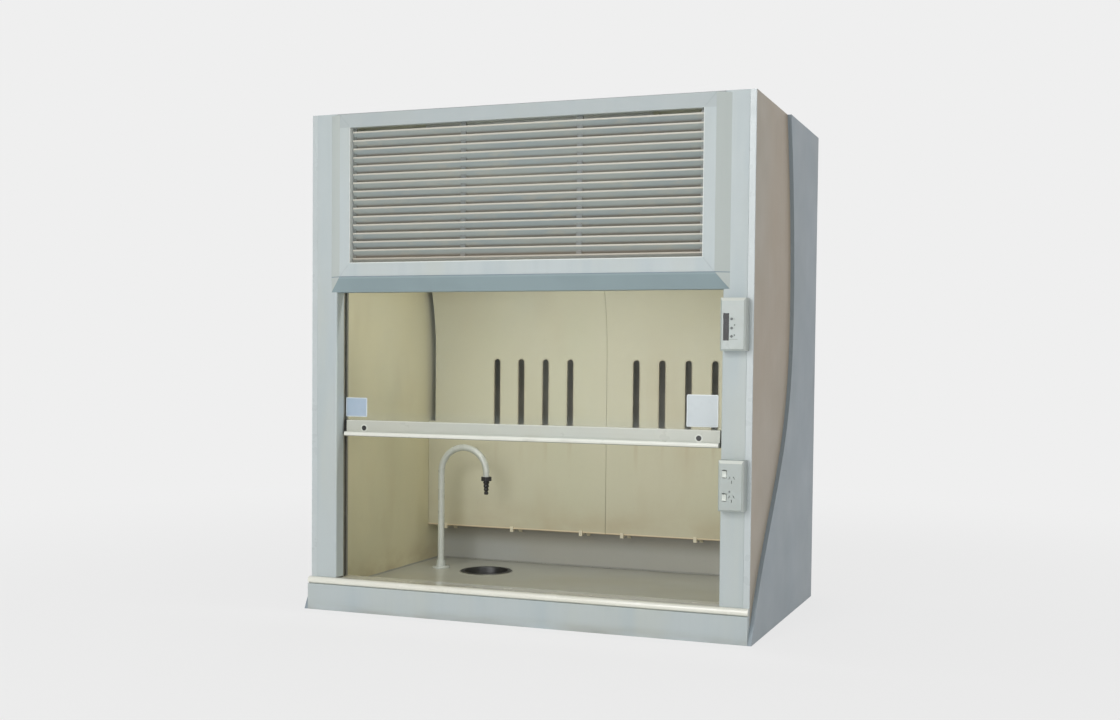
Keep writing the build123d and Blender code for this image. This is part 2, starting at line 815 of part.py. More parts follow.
def bevelled_box(centre_z, box_height, y_front, y_back, bevel, top_bevel):
    """Box on the post whose front edges slope back, more so at the top."""
    half = box_width / 2
    low = centre_z - box_height / 2
    high = centre_z + box_height / 2
    x0 = box_x - half
    x1 = box_x + half
    face = corners((x0 + bevel, low + bevel), (x1 - bevel, low + bevel),
                   (x1 - bevel, high - top_bevel), (x0 + bevel, high - top_bevel))
    base = corners((x0, low), (x1, low), (x1, high), (x0, high))
    slope_back = y_front + bevel
    nose = loft([(Plane.XZ.offset(-y_front) * face).face(), (Plane.XZ.offset(-slope_back) * base).face()],
                ruled=True)
    return nose + block(x0, x1, slope_back, y_back, low, high)


def button_places():
    """Centres of the push-buttons on the control box, in X and Z."""
    return [(box_x + button_offset_x, control_centre + offset) for offset in button_offsets_z]


def display_place():
    """Low and high corners of the display window, in X and Z."""
    x = box_x + display_offset_x
    z = control_centre + display_offset_z
    return x - display_width / 2, x + display_width / 2, z - display_height / 2, z + display_height / 2


def control_housing():
    """Hollow moulded housing with the window and three button holes."""
    shell = bevelled_box(control_centre, control_height, box_front, post_face, box_bevel, box_top_bevel)
    half = box_width / 2 - box_bevel
    low = control_centre - control_height / 2 + box_bevel
    high = control_centre + control_height / 2 - box_top_bevel
    shell -= block(box_x - half, box_x + half, box_front + box_wall, post_face + 1, low, high)
    x0, x1, z0, z1 = display_place()
    shell -= block(x0, x1, box_front - 1, box_front + box_wall + 1, z0, z1)
    for x, z in button_places():
        hole = button_radius + button_clearance
        shell -= rod((x, box_front - 1, z), (x, box_front + box_wall + 1, z), hole)
    return shell


def control_display():
    """Dark display window with a flange behind the housing's face."""
    x0, x1, z0, z1 = display_place()
    window = block(x0, x1, box_front + 0.4, box_front + box_wall, z0, z1)
    flange = block(x0 - 2, x1 + 2, box_front + box_wall, box_front + box_wall + display_thick - 1,
                   z0 - 2, z1 + 2)
    return window + flange


def control_buttons():
    """Push-buttons, each with a stem that reaches towards the circuit board."""
    buttons = []
    board_y = box_front + box_wall + board_gap
    for x, z in button_places():
        cap = rod((x, box_front - button_proud, z), (x, board_y - button_travel - 0.3, z), button_radius)
        cap = chamfer(cap.edges().group_by(Axis.Y)[0], button_edge)
        skirt = rod((x, box_front + box_wall + 0.3, z), (x, box_front + box_wall + 1.5, z),
                    button_radius + 1)
        buttons.append(cap + skirt)
    return buttons


def control_board():
    """Circuit board that the housing holds behind the display and the buttons, on two ribs."""
    half = box_width / 2 - box_bevel
    low = control_centre - control_height / 2 + box_bevel
    high = control_centre + control_height / 2 - box_top_bevel
    board_y = box_front + box_wall + board_gap
    board = block(box_x - half, box_x + half, board_y, board_y + circuit_thick, low, high)
    screen_x = box_x + display_offset_x
    screen_z = control_centre + display_offset_z
    screen = block(screen_x - screen_width / 2, screen_x + screen_width / 2,
                   box_front + box_wall + display_thick - 1, board_y,
                   screen_z - screen_height / 2, screen_z + screen_height / 2)
    return board + screen


def rocker_places():
    """Centres of the two rockers, in X and Z."""
    return [(box_x + rocker_offset_x, outlet_centre + offset) for offset in rocker_offsets_z]


def rocker_axis_y():
    """Depth of the rockers' pivots."""
    return box_front + rocker_pivot_depth


def outlet_block():
    """Mounting block behind the outlet plate, with a pocket behind each rocker."""
    low = outlet_centre - outlet_height / 2
    high = outlet_centre + outlet_height / 2
    y0 = box_front + plate_thick
    body = block(box_x - box_width / 2, box_x + box_width / 2, y0, post_face, low, high)
    for x, z in rocker_places():
        half_x = rocker_width / 2 + rocker_clearance
        half_z = rocker_height / 2 + 1.5
        body -= block(x - half_x, x + half_x, y0 - 1, y0 + 10, z - half_z, z + half_z)
    return body


def socket_slots(x, z, y0):
    """Two slanted slots over an upright one."""
    cuts = None
    for dx, dz, turn in ((-5.5, 3.5, 60), (5.5, 3.5, -60), (0, -6.5, 90)):
        slot = Pos(x + dx, z + dz) * Rectangle(socket_slot, socket_slot_width, rotation=turn)
        cut = prism_y(slot, y0 - 1, y0 + socket_depth)
        cuts = cut if cuts is None else cuts + cut
    return cuts


def outlet_plate():
    """Front plate with bevelled edges, two rocker windows with pivot holes and two sockets."""
    plate = bevelled_box(outlet_centre, outlet_height, box_front, box_front + plate_thick,
                         box_bevel, box_top_bevel)
    axis_y = rocker_axis_y()
    for x, z in rocker_places():
        half_x = rocker_width / 2 + rocker_clearance
        half_z = rocker_height / 2 + 1.5
        plate -= block(x - half_x, x + half_x, box_front - 1, box_front + plate_thick + 1,
                       z - half_z, z + half_z)
        reach = half_x + rocker_pin_length
        plate -= rod((x - reach, axis_y, z), (x + reach, axis_y, z), rocker_pin_radius + axle_clearance)
    for offset in socket_offsets_z:
        plate -= socket_slots(box_x + socket_offset_x, outlet_centre + offset, box_front)
    return plate


def outlet_rockers():
    """Rockers at rest in the off position, with pivot pins at both sides."""
    rockers = []
    axis_y = rocker_axis_y()
    for x, z in rocker_places():
        nose = box_front - rocker_proud
        half = rocker_height / 2
        outline = corners((nose, z - rocker_corner), (nose + 1.2, z), (nose, z + rocker_corner),
                          (box_front + 1, z + half), (axis_y + 3, z + half / 2),
                          (axis_y + 3, z - half / 2), (box_front + 1, z - half))
        body = prism_x(outline, x - rocker_width / 2, x + rocker_width / 2)
        reach = rocker_width / 2 + rocker_clearance + rocker_pin_length - 0.3
        body += rod((x - reach, axis_y, z), (x + reach, axis_y, z), rocker_pin_radius)
        turned = Pos(x, axis_y, z) * Rot(rocker_tilt, 0, 0) * Pos(-x, -axis_y, -z) * body
        rockers.append(turned)
    return rockers


def tap_base():
    """Flange on the worktop with the shank and its nut below, and the boss for the water pipe."""
    top = worktop_top + tap_flange_thick
    profile = corners((0, tap_shank_low), (tap_shank_radius, tap_shank_low),
                      (tap_shank_radius, frame_height - tap_nut_thick),
                      (tap_nut_radius, frame_height - tap_nut_thick), (tap_nut_radius, frame_height),
                      (tap_shank_radius, frame_height), (tap_shank_radius, worktop_top),
                      (tap_flange_radius, worktop_top), (tap_flange_radius, top - 1.5),
                      (tap_flange_radius - 1.5, top), (spout_radius + 4, top),
                      (spout_radius + 3, top + spout_socket), (spout_radius + push_fit, top + spout_socket),
                      (spout_radius + push_fit, top), (0, top))
    base = revolve(Plane.XZ * profile, Axis.Z)
    base = Pos(tap_x, tap_y, 0) * base
    boss_start = (tap_x, tap_y, water_height)
    boss_end = (tap_x, tap_y + tap_shank_radius + 8, water_height)
    return base + rod(boss_start, boss_end, water_pipe_radius + 1)


def spout_tip():
    """Point where the spout ends above the cup."""
    return tap_x + spout_reach, tap_y, spout_arc_height - spout_drop


def tap_spout():
    """Swan-neck tube that turns in the base."""
    radius = spout_reach / 2
    foot = (tap_x, tap_y, worktop_top + tap_flange_thick)
    shoulder = (tap_x, tap_y, spout_arc_height)
    crown = (tap_x + radius, tap_y, spout_arc_height + radius)
    far = (tap_x + spout_reach, tap_y, spout_arc_height)
    path = Wire([Line(foot, shoulder), ThreePointArc(shoulder, crown, far), Line(far, spout_tip())])
    tube = sweep(Plane(origin=foot, z_dir=(0, 0, 1)) * Circle(spout_radius), path)
    bore = sweep(Plane(origin=foot, z_dir=(0, 0, 1)) * Circle(spout_bore), path)
    return tube - bore


def tap_nozzle():
    """Serrated hose nozzle under the spout, with a ribbed collar."""
    x, y, z = spout_tip()
    low = z - nozzle_length
    rib = 2.0
    points = [(nozzle_bore, z), (collar_radius, z), (collar_radius, z - collar_height)]
    step = (nozzle_length - collar_height) / 4
    start_radius = spout_radius
    for index in range(4):
        top = z - collar_height - index * step
        wide = start_radius - (start_radius - nozzle_tip_radius) * index / 4
        points.append((wide - rib, top))
        points.append((wide, top - step * 0.6))
    points.append((nozzle_tip_radius - rib / 2, low))
    points.append((nozzle_bore, low))
    body = Pos(x, y, 0) * revolve(Plane.XZ * corners(*points), Axis.Z)
    for index in range(18):
        flute = Pos(x, y, z) * Rot(0, 0, index * 20) * Pos(collar_radius + 0.6, 0, -collar_height / 2)
        body -= flute * Cylinder(1.4, collar_height + 2)
    return body


def drip_cup():
    """Cup with a rolled rim on the worktop and a waste spigot at the back."""
    outer = cup_radius - cup_rim
    rim_top = worktop_top + cup_rim_proud
    profile = corners((0, cup_floor), (outer - cup_taper, cup_floor), (outer, worktop_top),
                      (cup_radius, worktop_top), (cup_radius, worktop_top + 1), (cup_radius - 2, rim_top),
                      (outer - cup_wall + 1, rim_top), (outer - cup_wall, rim_top - 1.5),
                      (outer - cup_taper - cup_wall, cup_floor + cup_wall), (0, cup_floor + cup_wall))
    cup = Pos(cup_x, cup_y, 0) * revolve(Plane.XZ * profile, Axis.Z)
    start = (cup_x, cup_y + outer - cup_taper, waste_height)
    end = (cup_x, cup_y + outer + waste_spigot_length, waste_height)
    cup += rod(start, end, waste_spigot_radius)
    return cup - rod((cup_x, cup_y + outer - 3 * cup_taper, waste_height), (end[0], end[1] + 1, end[2]),
                     waste_bore)


def waste_pipe():
    """Pipe from the cup's spigot to the back."""
    start = (cup_x, cup_y + cup_radius - cup_rim + 5, waste_height)
    end = (cup_x, rear, waste_height)
    return rod(start, end, waste_pipe_radius) - rod(start, end, waste_spigot_radius + push_fit)


def water_pipe():
    """Pipe from the water outlet's boss to the back."""
    start = (tap_x, tap_y + tap_shank_radius + 8, water_height)
    end = (tap_x, rear, water_height)
    return rod(start, end, water_pipe_radius) - rod(start, end, water_pipe_radius - 1.5)


def pairs():
    """Pieces that the cabinet has on both sides, made for the right."""
    return {
        "side_panel": side_panel(),
        "side_cover": side_cover(),
        "liner": liner(),
        "edge_trim": edge_trim(),
        "post": post(),
        "channel": channel(),
        "pulley": pulley(),
        "cable": cable(),
        "counterweight": counterweight(),
    }


def all_nodes():
    """Every piece of the cabinet by name."""
    nodes = {
        "fascia": fascia(),
        "base_frame": base_frame(),
        "worktop": worktop(),
        "rear_splash": rear_splash(),
        "sill": sill(),
        "rear_panel": rear_panel(),
        "roof_panel": roof_panel(),
        "exhaust_spigot": exhaust_spigot(),
        "lamp_housing": lamp_housing(),
        "lamp_diffuser": lamp_diffuser(),
        "lamp_tube": lamp_tube(),
        "left_baffle": baffle_panel(-1),
        "right_baffle": baffle_panel(1),
        "baffle_clips": baffle_clips(),
        "baffle_standoffs": baffle_standoffs(),
        "louvre_grille": louvre_grille(),
        "sash_glass": sash_glass(),
        "sash_rail": sash_rail(),
        "rail_plugs": rail_plugs(),
        "sash_guides": sash_guides(),
        "sash_stops": sash_stops(),
        "pulley_brackets": pulley_brackets(),
        "control_housing": control_housing(),
        "control_display": control_display(),
        "control_board": control_board(),
        "outlet_block": outlet_block(),
        "outlet_plate": outlet_plate(),
        "tap_base": tap_base(),
        "tap_spout": tap_spout(),
        "tap_nozzle": tap_nozzle(),
        "drip_cup": drip_cup(),
        "waste_pipe": waste_pipe(),
        "water_pipe": water_pipe(),
    }
    nodes.update(header_members())
    for name, solid in pairs().items():
        nodes["right_" + name] = solid
        nodes["left_" + name] = mirrored(solid)
    for number, button in enumerate(control_buttons(), start=1):
        nodes[f"control_button_{number}"] = button
    for name, rocker in zip(("upper", "lower"), outlet_rockers()):
        nodes[name + "_rocker"] = rocker
    return nodes


os.makedirs("parts", exist_ok=True)
for node_name, node_shape in all_nodes().items():
    export_step(node_shape, f"parts/{node_name}.step")
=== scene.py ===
import json
import math
import random

import bmesh
import bpy
from mathutils import Matrix, Vector


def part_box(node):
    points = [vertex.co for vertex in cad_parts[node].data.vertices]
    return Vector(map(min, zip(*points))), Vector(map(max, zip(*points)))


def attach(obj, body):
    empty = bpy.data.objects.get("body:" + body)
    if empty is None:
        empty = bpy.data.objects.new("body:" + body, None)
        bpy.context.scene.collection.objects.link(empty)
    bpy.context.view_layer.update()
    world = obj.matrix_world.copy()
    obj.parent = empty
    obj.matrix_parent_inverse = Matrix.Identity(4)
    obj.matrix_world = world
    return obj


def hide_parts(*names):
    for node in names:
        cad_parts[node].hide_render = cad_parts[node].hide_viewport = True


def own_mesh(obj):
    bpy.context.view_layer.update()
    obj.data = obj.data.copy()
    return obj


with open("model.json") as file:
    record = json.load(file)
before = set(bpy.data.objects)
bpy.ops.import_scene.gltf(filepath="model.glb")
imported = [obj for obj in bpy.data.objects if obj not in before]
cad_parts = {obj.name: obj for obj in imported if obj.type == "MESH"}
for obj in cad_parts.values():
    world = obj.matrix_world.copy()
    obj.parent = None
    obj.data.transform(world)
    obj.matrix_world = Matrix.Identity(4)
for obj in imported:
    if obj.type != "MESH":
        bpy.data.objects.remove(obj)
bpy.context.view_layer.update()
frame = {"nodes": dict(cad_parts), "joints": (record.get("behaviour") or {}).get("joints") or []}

bl_info = {
    "name": "Fume Hood Finishes",
    "version": (1, 0, 0),
    "blender": (4, 5, 0),
    "location": "View3D > Sidebar > Fume Hood",
    "description": "Dresses the fume hood's solids with finishes and small fitted pieces",
    "category": "Object",
}


# Places on the solids that no box gives, in metres
OPENING_HALF, OPENING_LOW, OPENING_HIGH = 0.469, 0.902, 1.246
FACE_HALF, FACE_LOW = 0.499, 0.866
SLAT_PITCH, FIRST_NOSE, UPRIGHT_SETBACK = 0.0215, 1.235, 0.005
SLOT_LOW, SLOT_HIGH, SLOT_HALF, FIRST_SLOT, SLOT_PITCH = 0.446, 0.66, 0.0095, 0.102, 0.078
PLUG_X, PLUG_Z = 0.453, 0.4755
BOARD_SCREW_EDGE, BOARD_SCREW_PITCH, BOARD_SCREW_RADIUS = 0.024, 0.24, 0.0042
PLATE_PLACES = {"left": (-0.4822, 0.5290), "right": (0.4580, 0.5405)}
LENS_X, LENS_HEIGHTS = 0.5545, (0.7420, 0.7190)
BUTTON_X, BUTTON_HEIGHTS = 0.5475, (0.7560, 0.7350, 0.7160)
OUTLET_SCREW_X, OUTLET_SCREW_Z = 0.5480, 0.3585
STRAINER_RADIUS, STRAINER_HOLES = 0.022, 12

# The photograph's camera: place in metres, angles in degrees, framing as shares of its width
CAMERA_PLACE = (1.3053, -3.28145, 0.6535)
CAMERA_TURN, CAMERA_TILT, CAMERA_ROLL = 19.738, 2.113, 0.624
CAMERA_SHIFT = (-51.9 / 1120, 50.6 / 1120)


def tone(red, green, blue):
    """A colour written as it is seen, 0 to 255, in the linear values that a shader takes."""
    shares = [value / 255 for value in (red, green, blue)]
    return tuple(s / 12.92 if s <= 0.04045 else ((s + 0.055) / 1.055) ** 2.4 for s in shares)


def colour(name, description, *seen):
    """A colour that the user can change."""
    return bpy.props.FloatVectorProperty(
        name=name, description=description, default=tone(*seen), size=3, subtype="COLOR", min=0, max=1
    )


def length(name, description, millimetres):
    """A length that the user can change."""
    return bpy.props.FloatProperty(
        name=name, description=description, default=millimetres / 1000, min=0,
        unit="LENGTH", subtype="DISTANCE",
    )


def amount(name, description, value, top=1000.0):
    """A plain number that the user can change."""
    return bpy.props.FloatProperty(name=name, description=description, default=value, min=0, max=top)


class HoodColours(bpy.types.PropertyGroup):
    """Colours of the fume hood's finishes."""

    coat: colour("Posts", "Powder coat of the posts and the fascia", 188, 197, 198)
    header: colour("Header", "Powder coat of the header frame", 190, 199, 200)
    # painted shade: darker colour for the downward-facing foot of the header
    header_foot_shade: colour("Header foot", "Underside slope of the header frame", 142, 159, 163)
    # painted highlight on the rolled front edges of the slats
    slat: colour("Slats", "Faces of the louvre slats", 156, 164, 160)
    # painted shade: brown line on the lower edges of the slats, above the gaps
    slat_nose_highlight: colour("Slat noses", "Rolled front edges of the slats", 196, 193, 181)
    slat_gap_shade: colour("Slat line", "Stained lower edges of the slats", 120, 110, 98)
    cover: colour("Side cover", "Laminate of the outer side panels", 143, 154, 160)
    board: colour("Side board", "Carcass boards seen in front of the covers", 163, 154, 138)
    trim: colour("Edge trim", "Lipping at the front of the boards", 192, 200, 201)
    liner: colour("Liners", "Cream inner walls", 217, 211, 178)
    baffle: colour("Baffle", "Cream baffle panels", 197, 194, 170)
    stain: colour("Stain", "Old stains on the cream panels", 170, 152, 118)
    worktop: colour("Worktop", "Grey worktop", 180, 181, 171)
    splash: colour("Upstand", "Grey upstand at the back", 175, 177, 172)
    sill: colour("Sill", "Cream sill moulding", 230, 231, 223)
    timber: colour("Timber", "Boards that the coat doesn't cover", 170, 150, 120)
    rail: colour("Rail", "Sash handle rail", 190, 192, 181)
    metal: colour("Bare metal", "Sash channels", 150, 148, 138)
    steel: colour("Steel", "Screws, axles and brackets", 150, 152, 154)
    black: colour("Black", "Black plastic and rubber", 30, 31, 31)
    iron: colour("Iron", "Counterweights", 72, 73, 75)
    nylon: colour("Nylon", "Pulleys", 222, 219, 206)
    enamel: colour("Enamel", "Lamp tray", 222, 223, 219)
    duct: colour("Duct", "Exhaust collar", 150, 155, 158)
    box: colour("Boxes", "Control box and power outlet", 172, 180, 176)
    button: colour("Buttons", "Push-buttons", 88, 95, 94)
    circuit: colour("Circuit", "Circuit board", 36, 84, 52)
    tap: colour("Water outlet", "Coat of the swan-neck spout", 196, 200, 193)
    pipe: colour("Pipes", "Waste and water pipes", 120, 123, 126)
    glass: colour("Glass", "Sash pane", 206, 220, 216)
    left_plate: colour("Left plate", "Blank plate at the left of the pane", 168, 186, 203)
    right_plate: colour("Right plate", "Blank plate at the right of the pane", 186, 195, 198)
    sealant: colour("Sealant", "Beads along the joints", 158, 158, 150)
    backdrop: colour("Backdrop", "Floor and background", 239, 239, 239)


class HoodSizes(bpy.types.PropertyGroup):
    """Sizes of the pieces that the scene adds to the solids."""

    plate_thick: length("Plate thickness", "Thickness of the blank plates", 0.6)
    plate_rim: length("Plate rim", "Width of the plates' raised rim", 2.0)
    left_plate_width: length("Left plate width", "Width of the left blank plate", 63)
    left_plate_height: length("Left plate height", "Height of the left blank plate", 50)
    right_plate_width: length("Right plate width", "Width of the right blank plate", 78)
    right_plate_height: length("Right plate height", "Height of the right blank plate", 77)
    bead: length("Sealant bead", "Leg of the sealant beads", 3.2)
    screw: length("Screw head", "Radius of a screw head", 4.5)
    cable: length("Cable", "Radius of the counterbalance cables", 1.0)
    lens: length("Lens", "Radius of the indicator lenses", 1.4)
    lens_length: length("Camera lens", "Focal length on a 36 mm sensor", 42.022)
    floor: length("Floor", "Radius of the floor", 60000)
    world: amount("World light", "Strength of the even light", 0.26)
    key: amount("Key light", "Power of the high front light in watts", 40)
    front: amount("Front light", "Power of the level front light in watts", 56)
    fill: amount("Fill light", "Power of the right front light in watts", 18)
    side: amount("Side light", "Power of the right-hand light in watts", 24)
    left: amount("Left light", "Power of the left-hand light in watts", 40)
    rear: amount("Rear light", "Power of the light behind in watts", 75)
    top: amount("Top light", "Power of the overhead light in watts", 20)
    chamber: amount("Chamber light", "Power of the light under the lamp in watts", 3)


class Term:
    """A number that varies over a surface. Arithmetic on it adds Math nodes."""

    def __init__(self, finish, socket):
        self.finish = finish
        self.socket = socket

    def math(self, operation, *values):
        node = self.finish.node("ShaderNodeMath", {"operation": operation}, dict(enumerate(values)))
        return Term(self.finish, node.outputs[0])

    def __add__(self, other):
        return self.math("ADD", self, other)

    def __radd__(self, other):
        return self.math("ADD", other, self)

    def __sub__(self, other):
        return self.math("SUBTRACT", self, other)

    def __rsub__(self, other):
        return self.math("SUBTRACT", other, self)

    def __mul__(self, other):
        return self.math("MULTIPLY", self, other)

    def __rmul__(self, other):
        return self.math("MULTIPLY", other, self)

    def __truediv__(self, other):
        return self.math("DIVIDE", self, other)

    def __rtruediv__(self, other):
        return self.math("DIVIDE", other, self)

    def __mod__(self, other):
        return self.math("FLOORED_MODULO", self, other)

    def __abs__(self):
        return self.math("ABSOLUTE", self)

    def least(self, other):
        return self.math("MINIMUM", self, other)

    def most(self, other):
        return self.math("MAXIMUM", self, other)

    def root(self):
        return self.math("SQRT", self)

    def wave(self):
        return self.math("SINE", self)

    def below(self, limit):
        return self.math("LESS_THAN", self, limit)

    def above(self, limit):
        return self.math("GREATER_THAN", self, limit)

    def rise(self, low, high):
        """0 below low and 1 above high, smooth between them."""
        inputs = {"Value": self, "From Min": low, "From Max": high}
        node = self.finish.node("ShaderNodeMapRange", {"interpolation_type": "SMOOTHSTEP"}, inputs)
        return Term(self.finish, node.outputs[0])

    def near(self, place, reach):
        """1 at a place, 0 further from it than reach."""
        return 1 - abs(self - place).rise(reach * 0.3, reach)


class Nodes:
    """A node tree with one way to add a node."""

    def __init__(self, tree):
        self.tree = tree
        self.tree.nodes.clear()

    def node(self, kind, settings=None, inputs=None):
        """A node of a type. Its settings are made before its sockets take their values or links."""
        node = self.tree.nodes.new(kind)
        for name, value in (settings or {}).items():
            setattr(node, name, value)
        for key, value in (inputs or {}).items():
            if isinstance(value, Term):
                value = value.socket
            if isinstance(value, bpy.types.NodeSocket):
                self.tree.links.new(value, node.inputs[key])
            else:
                node.inputs[key].default_value = value
        return node

    def seen_directly(self):
        """1 for rays from the camera, from gloss and through glass."""
        path = self.node("ShaderNodeLightPath")
        camera, gloss, glass = (
            Term(self, path.outputs[name])
            for name in ("Is Camera Ray", "Is Glossy Ray", "Is Transmission Ray")
        )
        return camera.most(gloss).most(glass)


class Finish(Nodes):
    """A material: a base colour, painted layers, roughness and relief."""

    def __init__(self, name, base, constants=None):
        self.material = bpy.data.materials.new(name)
        self.material.use_nodes = True
        super().__init__(self.material.node_tree)
        self.material.diffuse_color = (*base, 1)
        self.surface = self.node("ShaderNodeBsdfPrincipled", None, constants)
        self.node("ShaderNodeOutputMaterial", None, {"Surface": self.surface.outputs[0]})
        self.shown = (*base, 1.0)
        self.normal = None
        coordinates = self.node("ShaderNodeTexCoord")
        self.where = coordinates.outputs["Object"]
        self.x, self.y, self.z = self.split(self.where)
        self.facing_x, self.facing_y, self.facing_z = self.split(coordinates.outputs["Normal"])

    def split(self, vector):
        """The three parts of a vector."""
        parts = self.node("ShaderNodeSeparateXYZ", None, {0: vector})
        return [Term(self, out) for out in parts.outputs]

    def noise(self, scale, detail=2.0, stretch=(1, 1, 1), shift=0.0):
        """Cloudy noise from 0 to 1. A smaller stretch draws it out along that axis."""
        inputs = {"Vector": self.where, "Location": (shift, shift, shift), "Scale": stretch}
        place = self.node("ShaderNodeMapping", None, inputs)
        inputs = {"Vector": place.outputs[0], "Scale": scale, "Detail": detail}
        texture = self.node("ShaderNodeTexNoise", None, inputs)
        return Term(self, texture.outputs[0])

    def cells(self, scale, shift=0.0):
        """Distance to the nearest of scattered points."""
        inputs = {"Vector": self.where, "Location": (shift, 0, shift)}
        place = self.node("ShaderNodeMapping", None, inputs)
        texture = self.node("ShaderNodeTexVoronoi", None, {"Vector": place.outputs[0], "Scale": scale})
        return Term(self, texture.outputs["Distance"])

    def paint(self, mask, layer):
        """Another colour where the mask is 1."""
        inputs = {0: mask, 6: self.shown, 7: (*layer, 1.0)}
        self.shown = self.node("ShaderNodeMix", {"data_type": "RGBA"}, inputs).outputs[2]

    def cloud(self, layer, share, low, high, scale, detail, stretch=(1, 1, 1), shift=0.0):
        """Another colour in soft clouds: noise between low and high, laid on by a share."""
        self.paint(self.noise(scale, detail, stretch, shift).rise(low, high) * share, layer)

    def relief(self, height, distance):
        """Small bumps, distance high where height is 1."""
        inputs = {"Height": height, "Distance": distance}
        if self.normal is not None:
            inputs["Normal"] = self.normal
        self.normal = self.node("ShaderNodeBump", None, inputs).outputs[0]

    def done(self, roughness):
        """Joins the layers to the surface and gives the material."""
        made = {"Base Color": self.shown, "Roughness": roughness}
        if self.normal is not None:
            made["Normal"] = self.normal
        for key, value in made.items():
            if isinstance(value, Term):
                value = value.socket
            if isinstance(value, bpy.types.NodeSocket):
                self.tree.links.new(value, self.surface.inputs[key])
            else:
                self.surface.inputs[key].default_value = value
        return self.material


def scaled(base, share):
    """A colour made lighter or darker."""
    return tuple(min(1.0, value * share) for value in base)


def between(first, second, share):
    """A colour between two others."""
    return tuple(a + (b - a) * share for a, b in zip(first, second))


def colours():
    return bpy.context.scene.hood_colours


def sizes():
    return bpy.context.scene.hood_sizes


def assign(material, *names):
    """Gives the named CAD nodes a material."""
    for name in names:
        obj = frame["nodes"][name]
        for index in range(max(1, len(obj.material_slots))):
            if index < len(obj.material_slots):
                obj.material_slots[index].material = material
            else:
                obj.data.materials.append(material)


def both(name):
    return "left_" + name, "right_" + name


def moulded(name, base, rough=0.4, speck=0.06, constants=None, scale=220.0, peel=0.00002):
    """Plain moulded or coated stuff: slight clouds, fine specks, handling marks and a fine texture."""
    f = Finish(name, base, constants)
    f.cloud(scaled(base, 1 - speck), 0.5, 0.4, 0.75, 9, 3, shift=1.7)
    f.cloud(scaled(base, 1 + speck), 0.45, 0.5, 0.8, scale, 2, shift=4.1)
    f.relief(f.noise(scale * 4, 1), peel)
    return f.done(rough + (f.noise(30, 3, shift=8.3) - 0.5) * 0.22)


def coated(name, base, edges=None, darker_foot=False):
    """Powder coat on pressed steel: soft upright clouds, faint streaks and orange peel."""
    f = Finish(name, base, {"Specular IOR Level": 0.28})
    warm = between(base, tone(190, 192, 176), 0.45)
    cool = between(base, tone(150, 172, 184), 0.4)
    f.cloud(warm, 0.55, 0.42, 0.66, 2.4, 3, (2.2, 2.2, 0.5), 3.3)
    f.cloud(cool, 0.5, 0.46, 0.7, 5.2, 3, (2.5, 2.5, 0.35), 9.1)
    f.cloud(scaled(base, 0.92), 0.3, 0.5, 0.8, 55, 2, (1, 1, 0.05), 2.0)
    f.cloud(scaled(base, 1.08), 0.25, 0.55, 0.8, 260, 2, shift=5.0)
    if darker_foot:
        # the foot is painted darker in patches
        dirt = (1 - f.z.rise(0.0, 0.03)) * f.noise(14, 4, (0.4, 1, 2)).rise(0.3, 0.7)
        f.paint(dirt * 0.55, tone(150, 148, 138))
    if edges is not None:
        edges(f, base)
    f.relief(f.noise(900, 1), 0.00003)
    return f.done(0.5 + (f.noise(18, 3, shift=6.0) - 0.5) * 0.25)


def header_edges(f, base):
    """Painted highlight round the opening, fine mitre lines, painted shade on the sloping foot and the
    side chamfers, a painted shadow line under the face with a painted highlight on the foot below it, and
    a darker top member.
    """
    c = colours()
    face_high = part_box("header_top")[1].z
    beside, under, over = abs(f.x) - OPENING_HALF, OPENING_LOW - f.z, f.z - OPENING_HIGH
    # painted shade: the downward-facing sloping foot is painted a darker colour, with mottling
    foot = (FACE_LOW - f.z).rise(-0.0005, 0.0006) * (-1 * f.facing_z).rise(0.12, 0.3)
    f.paint(foot, c.header_foot_shade)
    f.paint(foot * f.noise(5, 3, (1.4, 1, 1), 4.4).rise(0.4, 0.7) * 0.5, scaled(c.header_foot_shade, 0.88))
    # painted shade on the side-facing chamfers
    sides = abs(f.facing_x).rise(0.15, 0.4) * f.y.below(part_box("left_post")[0].y)
    f.paint(sides * 0.5, between(base, tone(168, 172, 156), 0.6))
    # painted shadow line along the foot of the face, and a painted highlight on the foot just below it
    f.paint(f.z.near(FACE_LOW, 0.0016) * 0.85, tone(112, 132, 146))
    f.paint(f.z.near(FACE_LOW - 0.0035, 0.0018) * foot * 0.5, scaled(c.header_foot_shade, 1.25))
    f.paint(over.rise(-0.001, 0.001) * abs(f.x).below(FACE_HALF) * 0.7, scaled(base, 0.82))
    # painted highlight along the edges round the opening
    upright_highlight = beside.rise(0.0022, 0.0006) * under.below(0.002) * f.z.below(OPENING_HIGH)
    level_highlight = under.rise(0.0024, 0.0008) * beside.below(0.0022) * under.above(-0.001)
    f.paint(upright_highlight.most(level_highlight) * 0.75, tone(232, 236, 232))
    face = FACE_HALF - OPENING_HALF
    mitre = abs(under - beside * ((OPENING_LOW - FACE_LOW) / face)).rise(0.0007, 0.0003)
    top_mitre = abs(over - beside * ((face_high - OPENING_HIGH) / face)).rise(0.0007, 0.0003)
    lines = (mitre * under.above(0.0)).most(top_mitre * over.above(0.0)) * beside.above(0.0)
    f.paint(lines * 0.35, tone(120, 134, 142))
    f.relief(lines, -0.0003)


